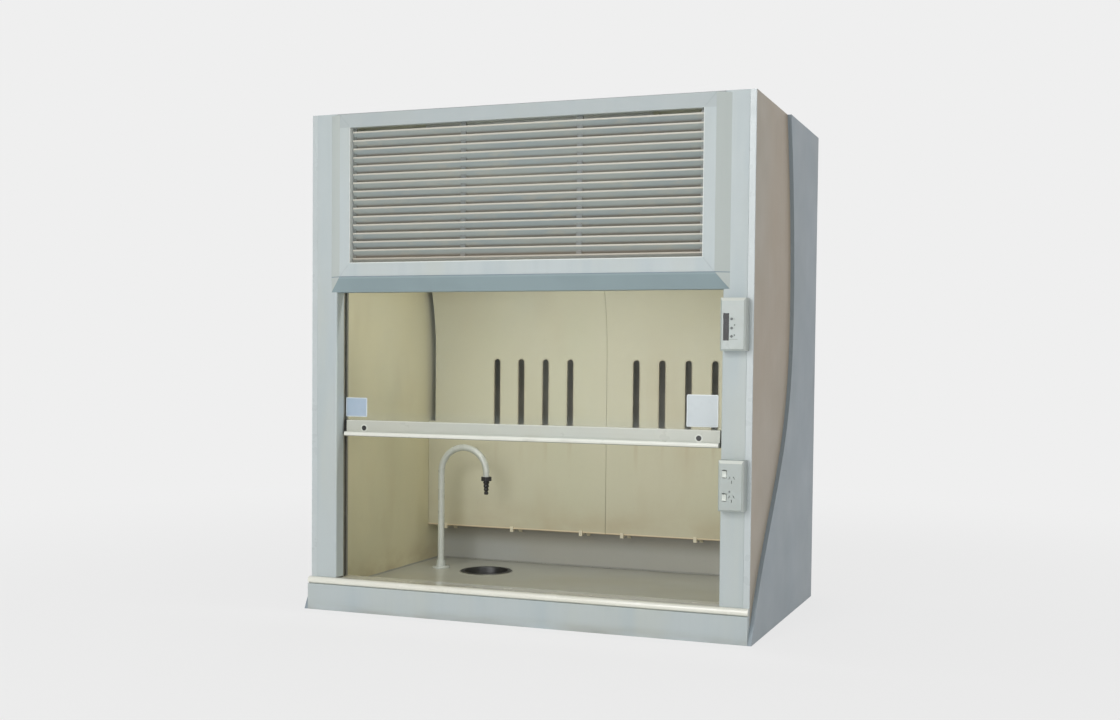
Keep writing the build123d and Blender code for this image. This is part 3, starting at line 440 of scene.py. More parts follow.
def louvre_finish():
    """Slats: painted highlight on the rolled nose, mottled face, a brown line of painted shade above the
    gap and painted shade on the uprights.
    """
    c = colours()
    base = tuple(c.slat)
    f = Finish("louvre_satin", base, {"Coat Weight": 0.1, "Coat Roughness": 0.35})
    fall = (FIRST_NOSE - f.z) % SLAT_PITCH
    f.cloud(between(base, tone(128, 146, 156), 0.7), 0.5, 0.4, 0.7, 7, 3, (0.5, 1, 3), 2.2)
    f.cloud(between(base, tone(176, 172, 156), 0.8), 0.45, 0.5, 0.72, 38, 3, (0.5, 1, 1.5), 5.5)
    f.cloud(scaled(base, 0.88), 0.3, 0.5, 0.75, 160, 2, (0.3, 1, 1), 1.1)
    # painted shade: brown line on the lower part of each slat, above the gap to the next nose
    f.paint(fall.rise(0.0105, 0.0165) * (1 - fall.rise(0.0188, 0.0192)) * 0.75, c.slat_gap_shade)
    # painted highlight on each slat's rolled nose
    nose = (1 - fall.rise(0.0020, 0.0028)).most(fall.rise(0.0189, 0.0193))
    f.paint(nose * (0.75 + f.noise(30, 3, (0.4, 1, 1), 7.7) * 0.4).least(1.0), c.slat_nose_highlight)
    behind_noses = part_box("louvre_grille")[0].y + UPRIGHT_SETBACK
    # painted shade on the uprights seen between the slats
    upright = f.y.above(behind_noses) * (-1 * f.facing_y).rise(0.9, 0.96)
    f.paint(upright * 0.85, scaled(base, 0.42))
    lowest = (f.z - OPENING_LOW).rise(0.03, 0.008)
    f.paint(lowest * 0.35, tone(150, 132, 112))
    f.relief(f.noise(800, 1), 0.00003)
    return f.done(0.42 + (f.noise(22, 2, shift=3.0) - 0.5) * 0.2)


def flush_screws(f, base):
    """Countersunk heads, flush with the board, along its two upright edges and its middle."""
    low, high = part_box("rear_panel")
    head = BOARD_SCREW_RADIUS
    up = (f.z - low.z - BOARD_SCREW_EDGE) % BOARD_SCREW_PITCH
    up = up.least(BOARD_SCREW_PITCH - up)
    out = abs(abs(f.x) - (high.x - BOARD_SCREW_EDGE)).least(abs(f.x))
    away = (up * up + out * out).root()
    disc = 1 - away.rise(head - 0.0003, head)
    rim = (1 - away.rise(head, head + 0.0012)) * away.rise(head - 0.0004, head)
    f.paint(disc, tone(176, 178, 176))
    # painted shade in the recess at the middle of each head
    f.paint(disc * (1 - away.rise(head * 0.2, head * 0.28)), tone(70, 70, 68))
    f.paint(rim * 0.6, scaled(base, 0.6))
    f.relief(disc, -0.0002)


def laminate(name, base, warm, cloud, grain_share=0.3, constants=None, rough=0.42, marks=None):
    """Faced board: broad clouds, a faint upright grain, scuffs and fine pores."""
    f = Finish(name, base, constants)
    f.cloud(warm, 0.55, 0.4, 0.68, 1.9, 3, (1, 1, 0.6), cloud)
    f.paint(f.noise(90, 3, (1, 1, 0.03), cloud + 2).rise(0.45, 0.8) * grain_share, scaled(base, 0.9))
    f.cloud(scaled(base, 1.06), 0.35, 0.52, 0.75, 16, 4, (1, 1, 0.5), cloud + 4)
    scuff = f.noise(6, 4, (1, 1, 3), cloud + 6).rise(0.62, 0.7)
    scuff = scuff * f.noise(140, 2, (1, 1, 0.2)).rise(0.55, 0.7)
    f.paint(scuff * 0.35, scaled(base, 0.82))
    if marks is not None:
        marks(f, base)
    f.relief(f.noise(700, 2, (1, 1, 0.4)), 0.00003)
    return f.done(rough + (f.noise(11, 3, shift=cloud) - 0.5) * 0.2)


def cream(name, base, shift, lines=None):
    """Cream lining: old uneven stains, a darker foot and fine specks."""
    c = colours()
    f = Finish(name, base)
    f.cloud(between(base, tone(188, 190, 162), 0.6), 0.55, 0.4, 0.7, 2.6, 4, (1, 1, 0.7), shift)
    f.cloud(between(base, c.stain, 0.5), 0.5, 0.5, 0.74, 4.5, 4, (1.2, 1.2, 0.45), shift + 3)
    f.cloud(scaled(base, 0.92), 0.3, 0.55, 0.8, 60, 3, (1, 1, 0.3), shift + 5)
    f.cloud(between(base, c.stain, 0.7), 0.3, 0.62, 0.8, 320, 2, shift=shift + 7)
    if lines is not None:
        lines(f, base)
    f.relief(f.noise(600, 1), 0.00003)
    return f.done(0.5 + (f.noise(15, 3, shift=shift) - 0.5) * 0.2)


def liner_lines(f, base):
    """Darker patches towards the foot of the wall, a dark line along its foot, and darker towards its
    front edge.
    """
    c = colours()
    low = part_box("left_liner")[0]
    # darker towards the foot of the wall, in patches
    dirt = (1 - (f.z - low.z).rise(0.0, 0.09)) * f.noise(20, 4, (1, 0.5, 1)).rise(0.25, 0.75)
    f.paint(dirt * 0.55, c.stain)
    f.paint((1 - (f.z - low.z).rise(0.0, 0.004)) * 0.7, tone(120, 112, 92))
    # darker towards the front edge of the wall
    f.paint((1 - (f.y - low.y).rise(0.01, 0.13)) * 0.35, between(base, c.stain, 0.8))


def baffle_lines(f, base):
    """Pale band along the lower edge with a brown line of painted shade at its foot, and dirt round the
    slots.
    """
    c = colours()
    height = f.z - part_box("left_baffle")[0].z
    f.paint((1 - height.rise(0.012, 0.11)) * f.noise(9, 4, (0.6, 1, 1)).rise(0.3, 0.7) * 0.45, c.stain)
    f.paint((1 - height.rise(0.0035, 0.006)) * 0.8, tone(222, 204, 172))
    # painted shade: brown line along the very foot of the baffle
    f.paint((1 - height.rise(0.0008, 0.0022)) * 0.8, tone(110, 92, 70))
    start = FIRST_SLOT - SLOT_PITCH / 2
    across = (abs(f.x) - start) % SLOT_PITCH - SLOT_PITCH / 2
    slotted = abs(f.x).above(start) * abs(f.x).below(start + SLOT_PITCH * 4)
    from_middle = abs(f.z - (SLOT_HIGH + SLOT_LOW) / 2)
    beyond = (from_middle - ((SLOT_HIGH - SLOT_LOW) / 2 - SLOT_HALF)).most(0.0)
    away = (across * across + beyond * beyond).root()
    halo = (1 - (away - SLOT_HALF).rise(0.0, 0.006)) * slotted
    f.paint(halo * 0.45, between(base, tone(120, 96, 62), 0.7))
    drip = (1 - abs(across).rise(0.002, 0.011)) * slotted
    drip = drip * (SLOT_LOW - f.z).rise(0.0, 0.01) * (f.z - SLOT_LOW).rise(-0.14, 0.0)
    f.paint(drip * f.noise(50, 3, (1, 1, 0.15)).rise(0.35, 0.7) * 0.4, c.stain)


def worktop_finish():
    """Grey worktop: fine two-tone specks, dull stains and a satin wipe."""
    c = colours()
    base = tuple(c.worktop)
    f = Finish("worktop_laminate", base, {"Coat Weight": 0.12, "Coat Roughness": 0.25})
    f.cloud(scaled(base, 0.88), 0.2, 0.45, 0.75, 420, 1)
    f.cloud(scaled(base, 1.12), 0.2, 0.5, 0.8, 520, 1, shift=3.0)
    f.cloud(between(base, tone(172, 168, 148), 0.8), 0.5, 0.45, 0.7, 5, 4, (0.7, 1, 1), 2.0)
    f.cloud(scaled(base, 0.86), 0.2, 0.5, 0.8, 12, 2, shift=6.0)
    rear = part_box("rear_splash")[0].y
    f.paint(f.y.rise(rear - 0.01, rear - 0.001) * 0.8, tone(92, 92, 84))
    f.relief(f.noise(160, 1), 0.00002)
    return f.done(0.34 + (f.noise(9, 2, shift=1.0) - 0.5) * 0.16)


def splash_finish():
    """Grey upstand with a painted shadow of the baffle over its upper part."""
    c = colours()
    base = tuple(c.splash)
    f = Finish("upstand_laminate", base, {"Coat Weight": 0.15, "Coat Roughness": 0.25})
    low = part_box("rear_splash")[0]
    f.cloud(between(base, tone(176, 172, 156), 0.8), 0.5, 0.4, 0.7, 4, 3, (0.8, 1, 1.6), 5.0)
    f.cloud(scaled(base, 0.85), 0.3, 0.55, 0.7, 380, 2)
    # painted shadow of the baffle over the upper part of the upstand
    f.paint((f.z - low.z).rise(0.045, 0.085) * 0.55, tone(128, 121, 104))
    f.paint((1 - (f.z - low.z).rise(0.001, 0.006)) * 0.7, tone(96, 94, 84))
    f.relief(f.noise(500, 2), 0.00003)
    return f.done(0.38 + (f.noise(9, 3, shift=2.0) - 0.5) * 0.2)


def sill_finish():
    """Glossy cream moulding with a painted highlight on its nose and rubbed patches."""
    c = colours()
    base = tuple(c.sill)
    f = Finish("sill_gloss", base, {"Coat Weight": 0.5, "Coat Roughness": 0.12})
    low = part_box("sill")[0]
    f.cloud(between(base, tone(196, 188, 156), 0.8), 0.5, 0.42, 0.7, 6, 4, (0.6, 1, 1), 4.0)
    f.cloud(scaled(base, 0.88), 0.35, 0.55, 0.75, 48, 3, (0.2, 1, 1), 2.0)
    # painted highlight along the nose
    f.paint((1 - (f.y - low.y).rise(0.004, 0.014)) * 0.7, tone(236, 235, 222))
    joint = (1 - (f.z - low.z).rise(0.0005, 0.002)) * (1 - (f.y - low.y).rise(0.0, 0.02))
    f.paint(joint * 0.8, tone(120, 124, 118))
    f.relief(f.noise(350, 1), 0.00003)
    return f.done(0.24 + (f.noise(14, 3, shift=3.0) - 0.5) * 0.2)


def rail_finish():
    """Coated aluminium rail with a painted highlight on the lip and along the top edge, a dark foot of
    painted shade and finger wear in the middle.
    """
    c = colours()
    base = tuple(c.rail)
    f = Finish("rail_satin", base, {"Coat Weight": 0.2, "Coat Roughness": 0.25})
    low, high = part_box("sash_rail")
    lip = 0.012
    f.cloud(between(base, tone(188, 198, 194), 0.8), 0.5, 0.4, 0.7, 3.5, 3, (0.7, 1, 1), 2.0)
    f.cloud(scaled(base, 0.93), 0.3, 0.5, 0.8, 120, 2, (0.03, 1, 1), 5.0)
    height = f.z - low.z
    # painted highlight on the lip
    f.paint((1 - height.rise(lip - 0.003, lip + 0.001)) * 0.8, tone(236, 237, 228))
    # painted shade along the foot
    f.paint((1 - height.rise(0.0006, 0.0022)) * 0.9, tone(88, 90, 86))
    # painted highlight along the top edge
    f.paint((height - (high.z - low.z)).rise(-0.0022, -0.0008) * 0.6, tone(226, 228, 220))
    handled = (1 - abs(f.x).rise(0.05, 0.3)) * f.noise(26, 3, (0.4, 1, 1)).rise(0.45, 0.7)
    f.paint(handled * 0.3, tone(176, 174, 160))
    up = f.z - PLUG_Z
    for side in (-1, 1):
        across = f.x - side * PLUG_X
        away = (across * across + up * up).root()
        f.paint((1 - away.rise(0.0085, 0.0115)) * 0.5, tone(226, 230, 222))
    f.relief(f.noise(900, 1, (0.1, 1, 1)), 0.00002)
    return f.done(0.3 + (f.noise(20, 3, shift=3.0) - 0.5) * 0.2)


def metal_finish(name, base, rough=0.35, along=(1, 1, 1), spots=0.3, metallic=1.0):
    """Bare metal: drawn lines along the piece and dull spots."""
    f = Finish(name, base, {"Metallic": metallic})
    f.cloud(scaled(base, 0.8), 0.4, 0.4, 0.75, 240, 2, along, 1.0)
    f.paint(f.noise(35, 4, shift=3.0).rise(0.58, 0.75) * spots, scaled(base, 0.55))
    f.relief(f.noise(500, 2, along), 0.00002)
    return f.done(rough + f.noise(50, 3, shift=6.0).rise(0.3, 0.8) * 0.25)


def timber_finish(name, base):
    """Raw board edge: chips and grain."""
    f = Finish(name, base)
    f.paint(f.cells(260).rise(0.2, 0.7) * 0.5, scaled(base, 0.72))
    f.cloud(scaled(base, 1.2), 0.5, 0.45, 0.7, 80, 4, (0.3, 0.3, 1), 2.0)
    f.cloud(scaled(base, 0.8), 0.4, 0.5, 0.75, 6, 3, shift=4.0)
    f.relief(f.noise(400, 3), 0.0001)
    return f.done(0.72 + (f.noise(60, 2) - 0.5) * 0.2)


def pane_finish():
    """Clear pane: nearly see-through, a little dust, greener at its cut edges."""
    c = colours()
    base = tuple(c.glass)
    f = Finish("pane_glass", base, {"IOR": 1.5, "Specular IOR Level": 0.5})
    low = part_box("sash_glass")[0]
    edge = abs(f.facing_y).rise(0.6, 0.3)
    f.paint(edge * 0.9, tone(96, 138, 118))
    f.cloud(tone(214, 216, 206), 0.3, 0.45, 0.75, 18, 4, shift=2.0)
    dust = f.noise(9, 4, (1, 1, 0.5), 5.0).rise(0.4, 0.8) * 0.025
    streak = f.noise(70, 2, (1, 1, 0.06), 1.0).rise(0.6, 0.8) * 0.015
    foot = (1 - (f.z - (low.z + 0.024)).rise(0.0, 0.03)) * 0.04
    alpha = (0.02 + dust + streak + foot).most(edge * 0.75)
    f.tree.links.new(alpha.socket, f.surface.inputs["Alpha"])
    return f.done(0.05 + f.noise(24, 3).rise(0.4, 0.8) * 0.06)


def show(name, bm, body, material, sharp=35.0):
    """Turns mesh data into a piece that rides on a body and takes its finish from a slot."""
    bmesh.ops.remove_doubles(bm, verts=bm.verts, dist=0.000002)
    bmesh.ops.recalc_face_normals(bm, faces=bm.faces)
    mesh = bpy.data.meshes.new(name)
    bm.to_mesh(mesh)
    bm.free()
    mesh.shade_smooth()
    mesh.set_sharp_from_angle(angle=math.radians(sharp))
    mesh.materials.append(material)
    obj = bpy.data.objects.new(name, mesh)
    bpy.context.scene.collection.objects.link(obj)
    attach(obj, body)
    return obj


def frame_of(place, direction):
    """Matrix that puts the local Z axis along a direction, at a place."""
    turn = Vector(direction).to_track_quat("Z", "Y").to_matrix().to_4x4()
    return Matrix.Translation(place) @ turn


def circle(matrix, radius, height, steps):
    """Points round the local Z axis, or one point where there is no radius."""
    if radius < 1e-7:
        return [matrix @ Vector((0, 0, height))]
    turns = [2 * math.pi * step / steps for step in range(steps)]
    return [matrix @ Vector((radius * math.cos(a), radius * math.sin(a), height)) for a in turns]


def skin(bm, rows, closed=False, ends=False, gap=None):
    """Joins rows of points. It closes them into a ring, caps both ends or leaves gaps, as asked."""
    rows = [[bm.verts.new(point) for point in row] for row in rows]
    pairs = list(zip(rows, rows[1:])) + ([(rows[-1], rows[0])] if closed else [])
    for index, (first, second) in enumerate(pairs):
        count = max(len(first), len(second))
        for step in range(count if count > 1 else 0):
            ahead = (step + 1) % count
            if gap is not None and gap(index, step):
                continue
            if len(first) == 1:
                bm.faces.new((first[0], second[step], second[ahead]))
            elif len(second) == 1:
                bm.faces.new((first[step], first[ahead], second[0]))
            else:
                bm.faces.new((first[step], first[ahead], second[ahead], second[step]))
    for row in (rows[0], rows[-1]) if ends else ():
        if len(row) > 1:
            bm.faces.new(row)


def lathe(bm, matrix, profile, steps=32):
    """Turns a profile of (radius, height) points about the local Z axis and closes its ends."""
    skin(bm, [circle(matrix, radius, height, steps) for radius, height in profile], ends=True)


def screw_head(bm, place, direction, radius, turn=0.0):
    """Domed screw head with a cross recess."""
    matrix = frame_of(place, direction) @ Matrix.Rotation(turn, 4, "Z")
    flat = Matrix.Identity(4)
    rings, steps = 9, 32
    half_arm, arm_end, recess, foot_depth = 0.13, 0.58, 0.28, 0.0002
    rows = []
    for index in range(rings + 1):
        share = index / rings
        row = []
        for point in circle(flat, share, 0, steps):
            height = 0.5 * math.sqrt(max(0.0, 1 - 0.93 * share * share))
            narrow, wide = sorted((abs(point.x), abs(point.y)))
            if narrow < half_arm and wide < arm_end:
                height -= recess
            row.append(matrix @ (Vector((point.x, point.y, height)) * radius))
        rows.append(row)
    rows.append(circle(matrix, radius, -foot_depth, steps))
    skin(bm, rows, ends=True)


def rounded_plate(bm, low, high, corner, edge):
    """Upright plate with rounded corners and eased edges, thin along Y."""
    size = high - low
    matrix = Matrix.Translation((low + high) / 2) @ Matrix.Diagonal((*size, 1))
    made = bmesh.ops.create_cube(bm, size=1, matrix=matrix)
    verts = set(made["verts"])
    edges = [e for e in bm.edges if e.verts[0] in verts and e.verts[1] in verts]
    along_y = [e for e in edges if abs((e.verts[0].co - e.verts[1].co).normalized().y) > 0.9]
    made = bmesh.ops.bevel(bm, geom=along_y, offset=corner, segments=5, profile=0.5, affect="EDGES")
    front = [
        e for e in bm.edges
        if all(abs(v.co.y - low.y) < 1e-7 and low.x - 1e-6 < v.co.x < high.x + 1e-6
               and low.z - 1e-6 < v.co.z < high.z + 1e-6 for v in e.verts)
    ]
    bmesh.ops.bevel(bm, geom=front, offset=edge, segments=2, profile=0.5, affect="EDGES")


def mark(bm, place, half_x, half_z, proud, sunk, corner, edge):
    """Small bar on an upright face, proud of it to the front and sunk into it."""
    place = Vector(place)
    low = place - Vector((half_x, proud, half_z))
    rounded_plate(bm, low, place + Vector((half_x, sunk, half_z)), corner, edge)


def tube(bm, points, radius, steps=16):
    """Round run through points, closed at both ends."""
    rows = []
    places = [Vector(p) for p in points]
    side = None
    for index, place in enumerate(places):
        ahead = places[min(index + 1, len(places) - 1)] - places[max(index - 1, 0)]
        ahead.normalize()
        if side is None:
            side = Vector((1, 0, 0)) if abs(ahead.x) < 0.9 else Vector((0, 1, 0))
        side = (side - ahead * side.dot(ahead)).normalized()
        third = ahead.cross(side)
        turns = [2 * math.pi * step / steps for step in range(steps)]
        rows.append([place + radius * (math.cos(a) * side + math.sin(a) * third) for a in turns])
    skin(bm, rows, ends=True)


def bead(bm, start, end, first, second, leg, rng):
    """Hand-laid sealant in a corner: a hollow fillet between two faces whose legs waver a little."""
    start, end = Vector(start), Vector(end)
    first, second = Vector(first), Vector(second)
    spacing, sunk, hollow, feather = 0.012, 0.00015, 0.72, 0.96
    count = max(8, int((end - start).length / spacing))
    rows = []
    for index in range(count + 1):
        place = start.lerp(end, index / count)
        waver = 0.18 * math.sin(index * 0.7) * rng.uniform(0.2, 1) + rng.uniform(-0.06, 0.06)
        reach = leg * (1 + waver)
        row = [place - first * sunk - second * sunk, place + first * reach - second * sunk]
        for step in range(5):
            angle = math.pi / 2 * step / 4
            out = (1 - hollow * math.sin(angle)) * (feather if step == 0 else 1)
            up = (1 - hollow * math.cos(angle)) * feather
            row.append(place + first * reach * out + second * reach * up)
        row.append(place - first * sunk + second * reach)
        rows.append(row)
    skin(bm, rows, ends=True)


def ring_bead(bm, centre, radius, leg, steps):
    """Sealant fillet round a flange that stands on a level face."""
    rows = []
    for step in range(steps):
        angle = 2 * math.pi * step / steps
        out = Vector((math.cos(angle), math.sin(angle), 0))
        reach = leg * (1 + 0.12 * math.sin(5 * angle) + 0.06 * math.sin(11 * angle))
        section = (
            (-0.0004, -0.0001), (reach, -0.0001), (reach * 0.92, 0.0002),
            (reach * 0.45, reach * 0.16), (reach * 0.12, reach * 0.4), (-0.0004, reach * 0.45),
        )
        rows.append([Vector(centre) + out * (radius + a) + Vector((0, 0, b)) for a, b in section])
    skin(bm, rows, closed=True)


class HoodOperator:
    """What all of the panel's operators share."""

    bl_options = {"REGISTER"}

    def execute(self, context):
        self.make(colours(), sizes())
        return {"FINISHED"}


class HOOD_OT_carcass(HoodOperator, bpy.types.Operator):
    """Finishes the posts, fascia, header frame and louvre grille"""

    bl_idname = "hood.carcass"
    bl_label = "Front and header"

    def make(self, c, s):
        assign(coated("post_powder_coat", tuple(c.coat)), *both("post"))
        assign(coated("fascia_powder_coat", scaled(c.coat, 0.96), darker_foot=True), "fascia")
        header = coated("header_powder_coat", tuple(c.header), header_edges)
        assign(header, "header_top", "header_bottom", "header_left", "header_right")
        assign(louvre_finish(), "louvre_grille")


class HOOD_OT_sides(HoodOperator, bpy.types.Operator):
    """Finishes the side boards, covers, trims, rear and roof boards"""

    bl_idname = "hood.sides"
    bl_label = "Sides, back and roof"

    def make(self, c, s):
        cover = tuple(c.cover)
        board = tuple(c.board)
        bluer = between(cover, tone(146, 160, 172), 0.8)
        assign(laminate("cover_laminate", cover, bluer, 1.0), *both("side_cover"))
        warm = between(board, tone(176, 156, 132), 0.8)
        assign(laminate("side_board_facing", board, warm, 4.0, 0.4), *both("side_panel"))
        assign(moulded("edge_lipping_gloss", tuple(c.trim), 0.3), *both("edge_trim"))
        rear = between(board, tone(168, 160, 148), 0.6)
        facing = laminate("rear_board_facing", rear, scaled(rear, 0.93), 7.0, marks=flush_screws)
        assign(facing, "rear_panel")
        roof = between(cover, tone(176, 178, 176), 0.6)
        assign(laminate("roof_board_facing", roof, scaled(roof, 0.94), 9.0), "roof_panel")
        assign(timber_finish("raw_board_edges", tuple(c.timber)), "base_frame")


class HOOD_OT_chamber(HoodOperator, bpy.types.Operator):
    """Finishes the chamber's walls, baffle, worktop, upstand and sill"""

    bl_idname = "hood.chamber"
    bl_label = "Chamber"

    def make(self, c, s):
        assign(cream("liner_cream", tuple(c.liner), 1.0, liner_lines), *both("liner"))
        assign(cream("baffle_cream", tuple(c.baffle), 6.0, baffle_lines), *both("baffle"))
        assign(moulded("clip_moulding", tone(216, 208, 184), 0.4), "baffle_clips", "baffle_standoffs")
        assign(worktop_finish(), "worktop")
        assign(splash_finish(), "rear_splash")
        assign(sill_finish(), "sill")


class HOOD_OT_sash(HoodOperator, bpy.types.Operator):
    """Finishes the pane, rail, plugs, guides, stops and channels"""

    bl_idname = "hood.sash"
    bl_label = "Sash"

    def make(self, c, s):
        assign(pane_finish(), "sash_glass")
        assign(rail_finish(), "sash_rail")
        assign(moulded("plug_black", tuple(c.black), 0.35, 0.2), "rail_plugs")
        assign(moulded("guide_nylon_black", scaled(c.black, 1.4), 0.45, 0.2), "sash_guides")
        assign(moulded("buffer_rubber", scaled(c.black, 0.8), 0.7, 0.3, peel=0.00006), "sash_stops")
        channel = metal_finish("channel_aluminium", tuple(c.metal), 0.42, (1, 1, 0.03), 0.4, 0.6)
        assign(channel, *both("channel"))


class HOOD_OT_plates(HoodOperator, bpy.types.Operator):
    """Adds the two blank plates on the pane"""

    bl_idname = "hood.plates"
    bl_label = "Blank plates"

    def make(self, c, s):
        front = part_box("sash_glass")[0].y
        plates = (
            ("left", s.left_plate_width, s.left_plate_height, c.left_plate),
            ("right", s.right_plate_width, s.right_plate_height, c.right_plate),
        )
        for side, width, height, shade in plates:
            x, z = PLATE_PLACES[side]
            base = tuple(shade)
            f = Finish(side + "_plate_print", base, {"Coat Weight": 0.4, "Coat Roughness": 0.15})
            f.cloud(scaled(base, 0.9), 0.35, 0.45, 0.7, 60, 3, shift=x)
            f.cloud(between(base, tone(176, 186, 200), 0.6), 0.4, 0.5, 0.75, 25, 3, shift=z)
            across, up = abs(f.x - x) - width / 2, abs(f.z - z) - height / 2
            rim = (across + s.plate_rim).most(up + s.plate_rim)
            f.paint(rim.rise(-0.0004, 0.0002) * 0.7, tone(226, 232, 234))
            f.relief(f.noise(700, 1), 0.00001)
            bm = bmesh.new()
            half = Vector((width / 2, 0, height / 2))
            low = Vector((x, front - s.plate_thick, z)) - half
            high = Vector((x, front, z)) + half
            rounded_plate(bm, low, high, 0.0025, 0.0002)
            outermost = front - s.plate_thick * 0.9
            faces = [face for face in bm.faces if face.calc_center_median().y < outermost]
            face = max(faces, key=lambda item: item.calc_area())
            bmesh.ops.inset_individual(bm, faces=[face], thickness=s.plate_rim, depth=0)
            bmesh.ops.inset_individual(bm, faces=[face], thickness=0.0002, depth=-0.0002)
            show(side + "_blank_plate", bm, "sash", f.done(0.3))


class HOOD_OT_counterbalance(HoodOperator, bpy.types.Operator):
    """Finishes weights, pulleys and brackets, and lays the cables"""

    bl_idname = "hood.counterbalance"
    bl_label = "Counterbalance"

    def make(self, c, s):
        iron = metal_finish("weight_cast_iron", tuple(c.iron), 0.6, spots=0.5, metallic=0.4)
        assign(iron, *both("counterweight"))
        assign(moulded("pulley_nylon_white", tuple(c.nylon), 0.35), *both("pulley"))
        assign(metal_finish("bracket_steel", tuple(c.steel), 0.35, (1, 1, 0.1)), "pulley_brackets")
        wire = Finish("cable_wire_rope", tuple(c.steel), {"Metallic": 0.9})
        lay = (wire.z * 900.0 + wire.x * 1500.0).wave()
        wire.paint(lay.rise(-0.2, 0.9) * 0.5, scaled(c.steel, 0.5))
        wire.relief(lay, 0.0001)
        wire = wire.done(0.4)
        slide = next(j for j in frame["joints"] if j["name"] == "sash_slide")
        down, up = abs(slide["range_m"][0]), abs(slide["range_m"][1])
        for side in ("left", "right"):
            cable_low, cable_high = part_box(side + "_cable")
            wheel_low, wheel_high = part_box(side + "_pulley")
            weight_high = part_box(side + "_counterweight")[1]
            guide_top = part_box("sash_guides")[1].z
            x = (cable_low.x + cable_high.x) / 2
            axle = (wheel_low.z + wheel_high.z) / 2
            rear = cable_high.y - s.cable
            near = cable_low.y + s.cable
            radius = (rear - near) / 2
            middle = (rear + near) / 2
            reach = axle - guide_top - up
            turns = [math.pi * step / 24 for step in range(25)]
            bend = [(x, middle + radius * math.cos(a), axle + radius * math.sin(a)) for a in turns]
            bm = bmesh.new()
            tube(bm, [(x, rear, guide_top - down + reach), *bend], s.cable)
            crown = show(side + "_cable_crown", bm, "cabinet", wire)
            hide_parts(side + "_cable")
            bm = bmesh.new()
            tube(bm, [(x, rear, guide_top - 0.003), (x, rear, guide_top + reach)], s.cable)
            ferrule = (
                (0.0012, 0), (0.0028, 0), (0.0030, 0.001),
                (0.0030, 0.012), (0.0024, 0.0135), (0.0012, 0.0135),
            )
            lathe(bm, Matrix.Translation((x, rear, guide_top)), ferrule, 20)
            show(side + "_cable_lead", bm, "sash", wire)
            low = weight_high.z - up
            bm = bmesh.new()
            tube(bm, [(x, near, low), (x, near, axle)], s.cable)
            run = show(side + "_cable_run", bm, "cabinet", wire)
            left_over = axle - (weight_high.z + down)
            left_over / (axle - low)
            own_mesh(run)
            bm = bmesh.new()
            top = weight_high.z
            tube(bm, [(x, near, top - 0.003), (x, near, top + left_over - 0.002)], s.cable)
            collar = (
                (0.0012, 0), (0.0045, 0), (0.0045, 0.003),
                (0.0030, 0.004), (0.0030, 0.012), (0.0012, 0.0135),
            )
            lathe(bm, Matrix.Translation((x, near, top)), collar, 20)
            show(side + "_cable_end", bm, side + "_weight", wire)


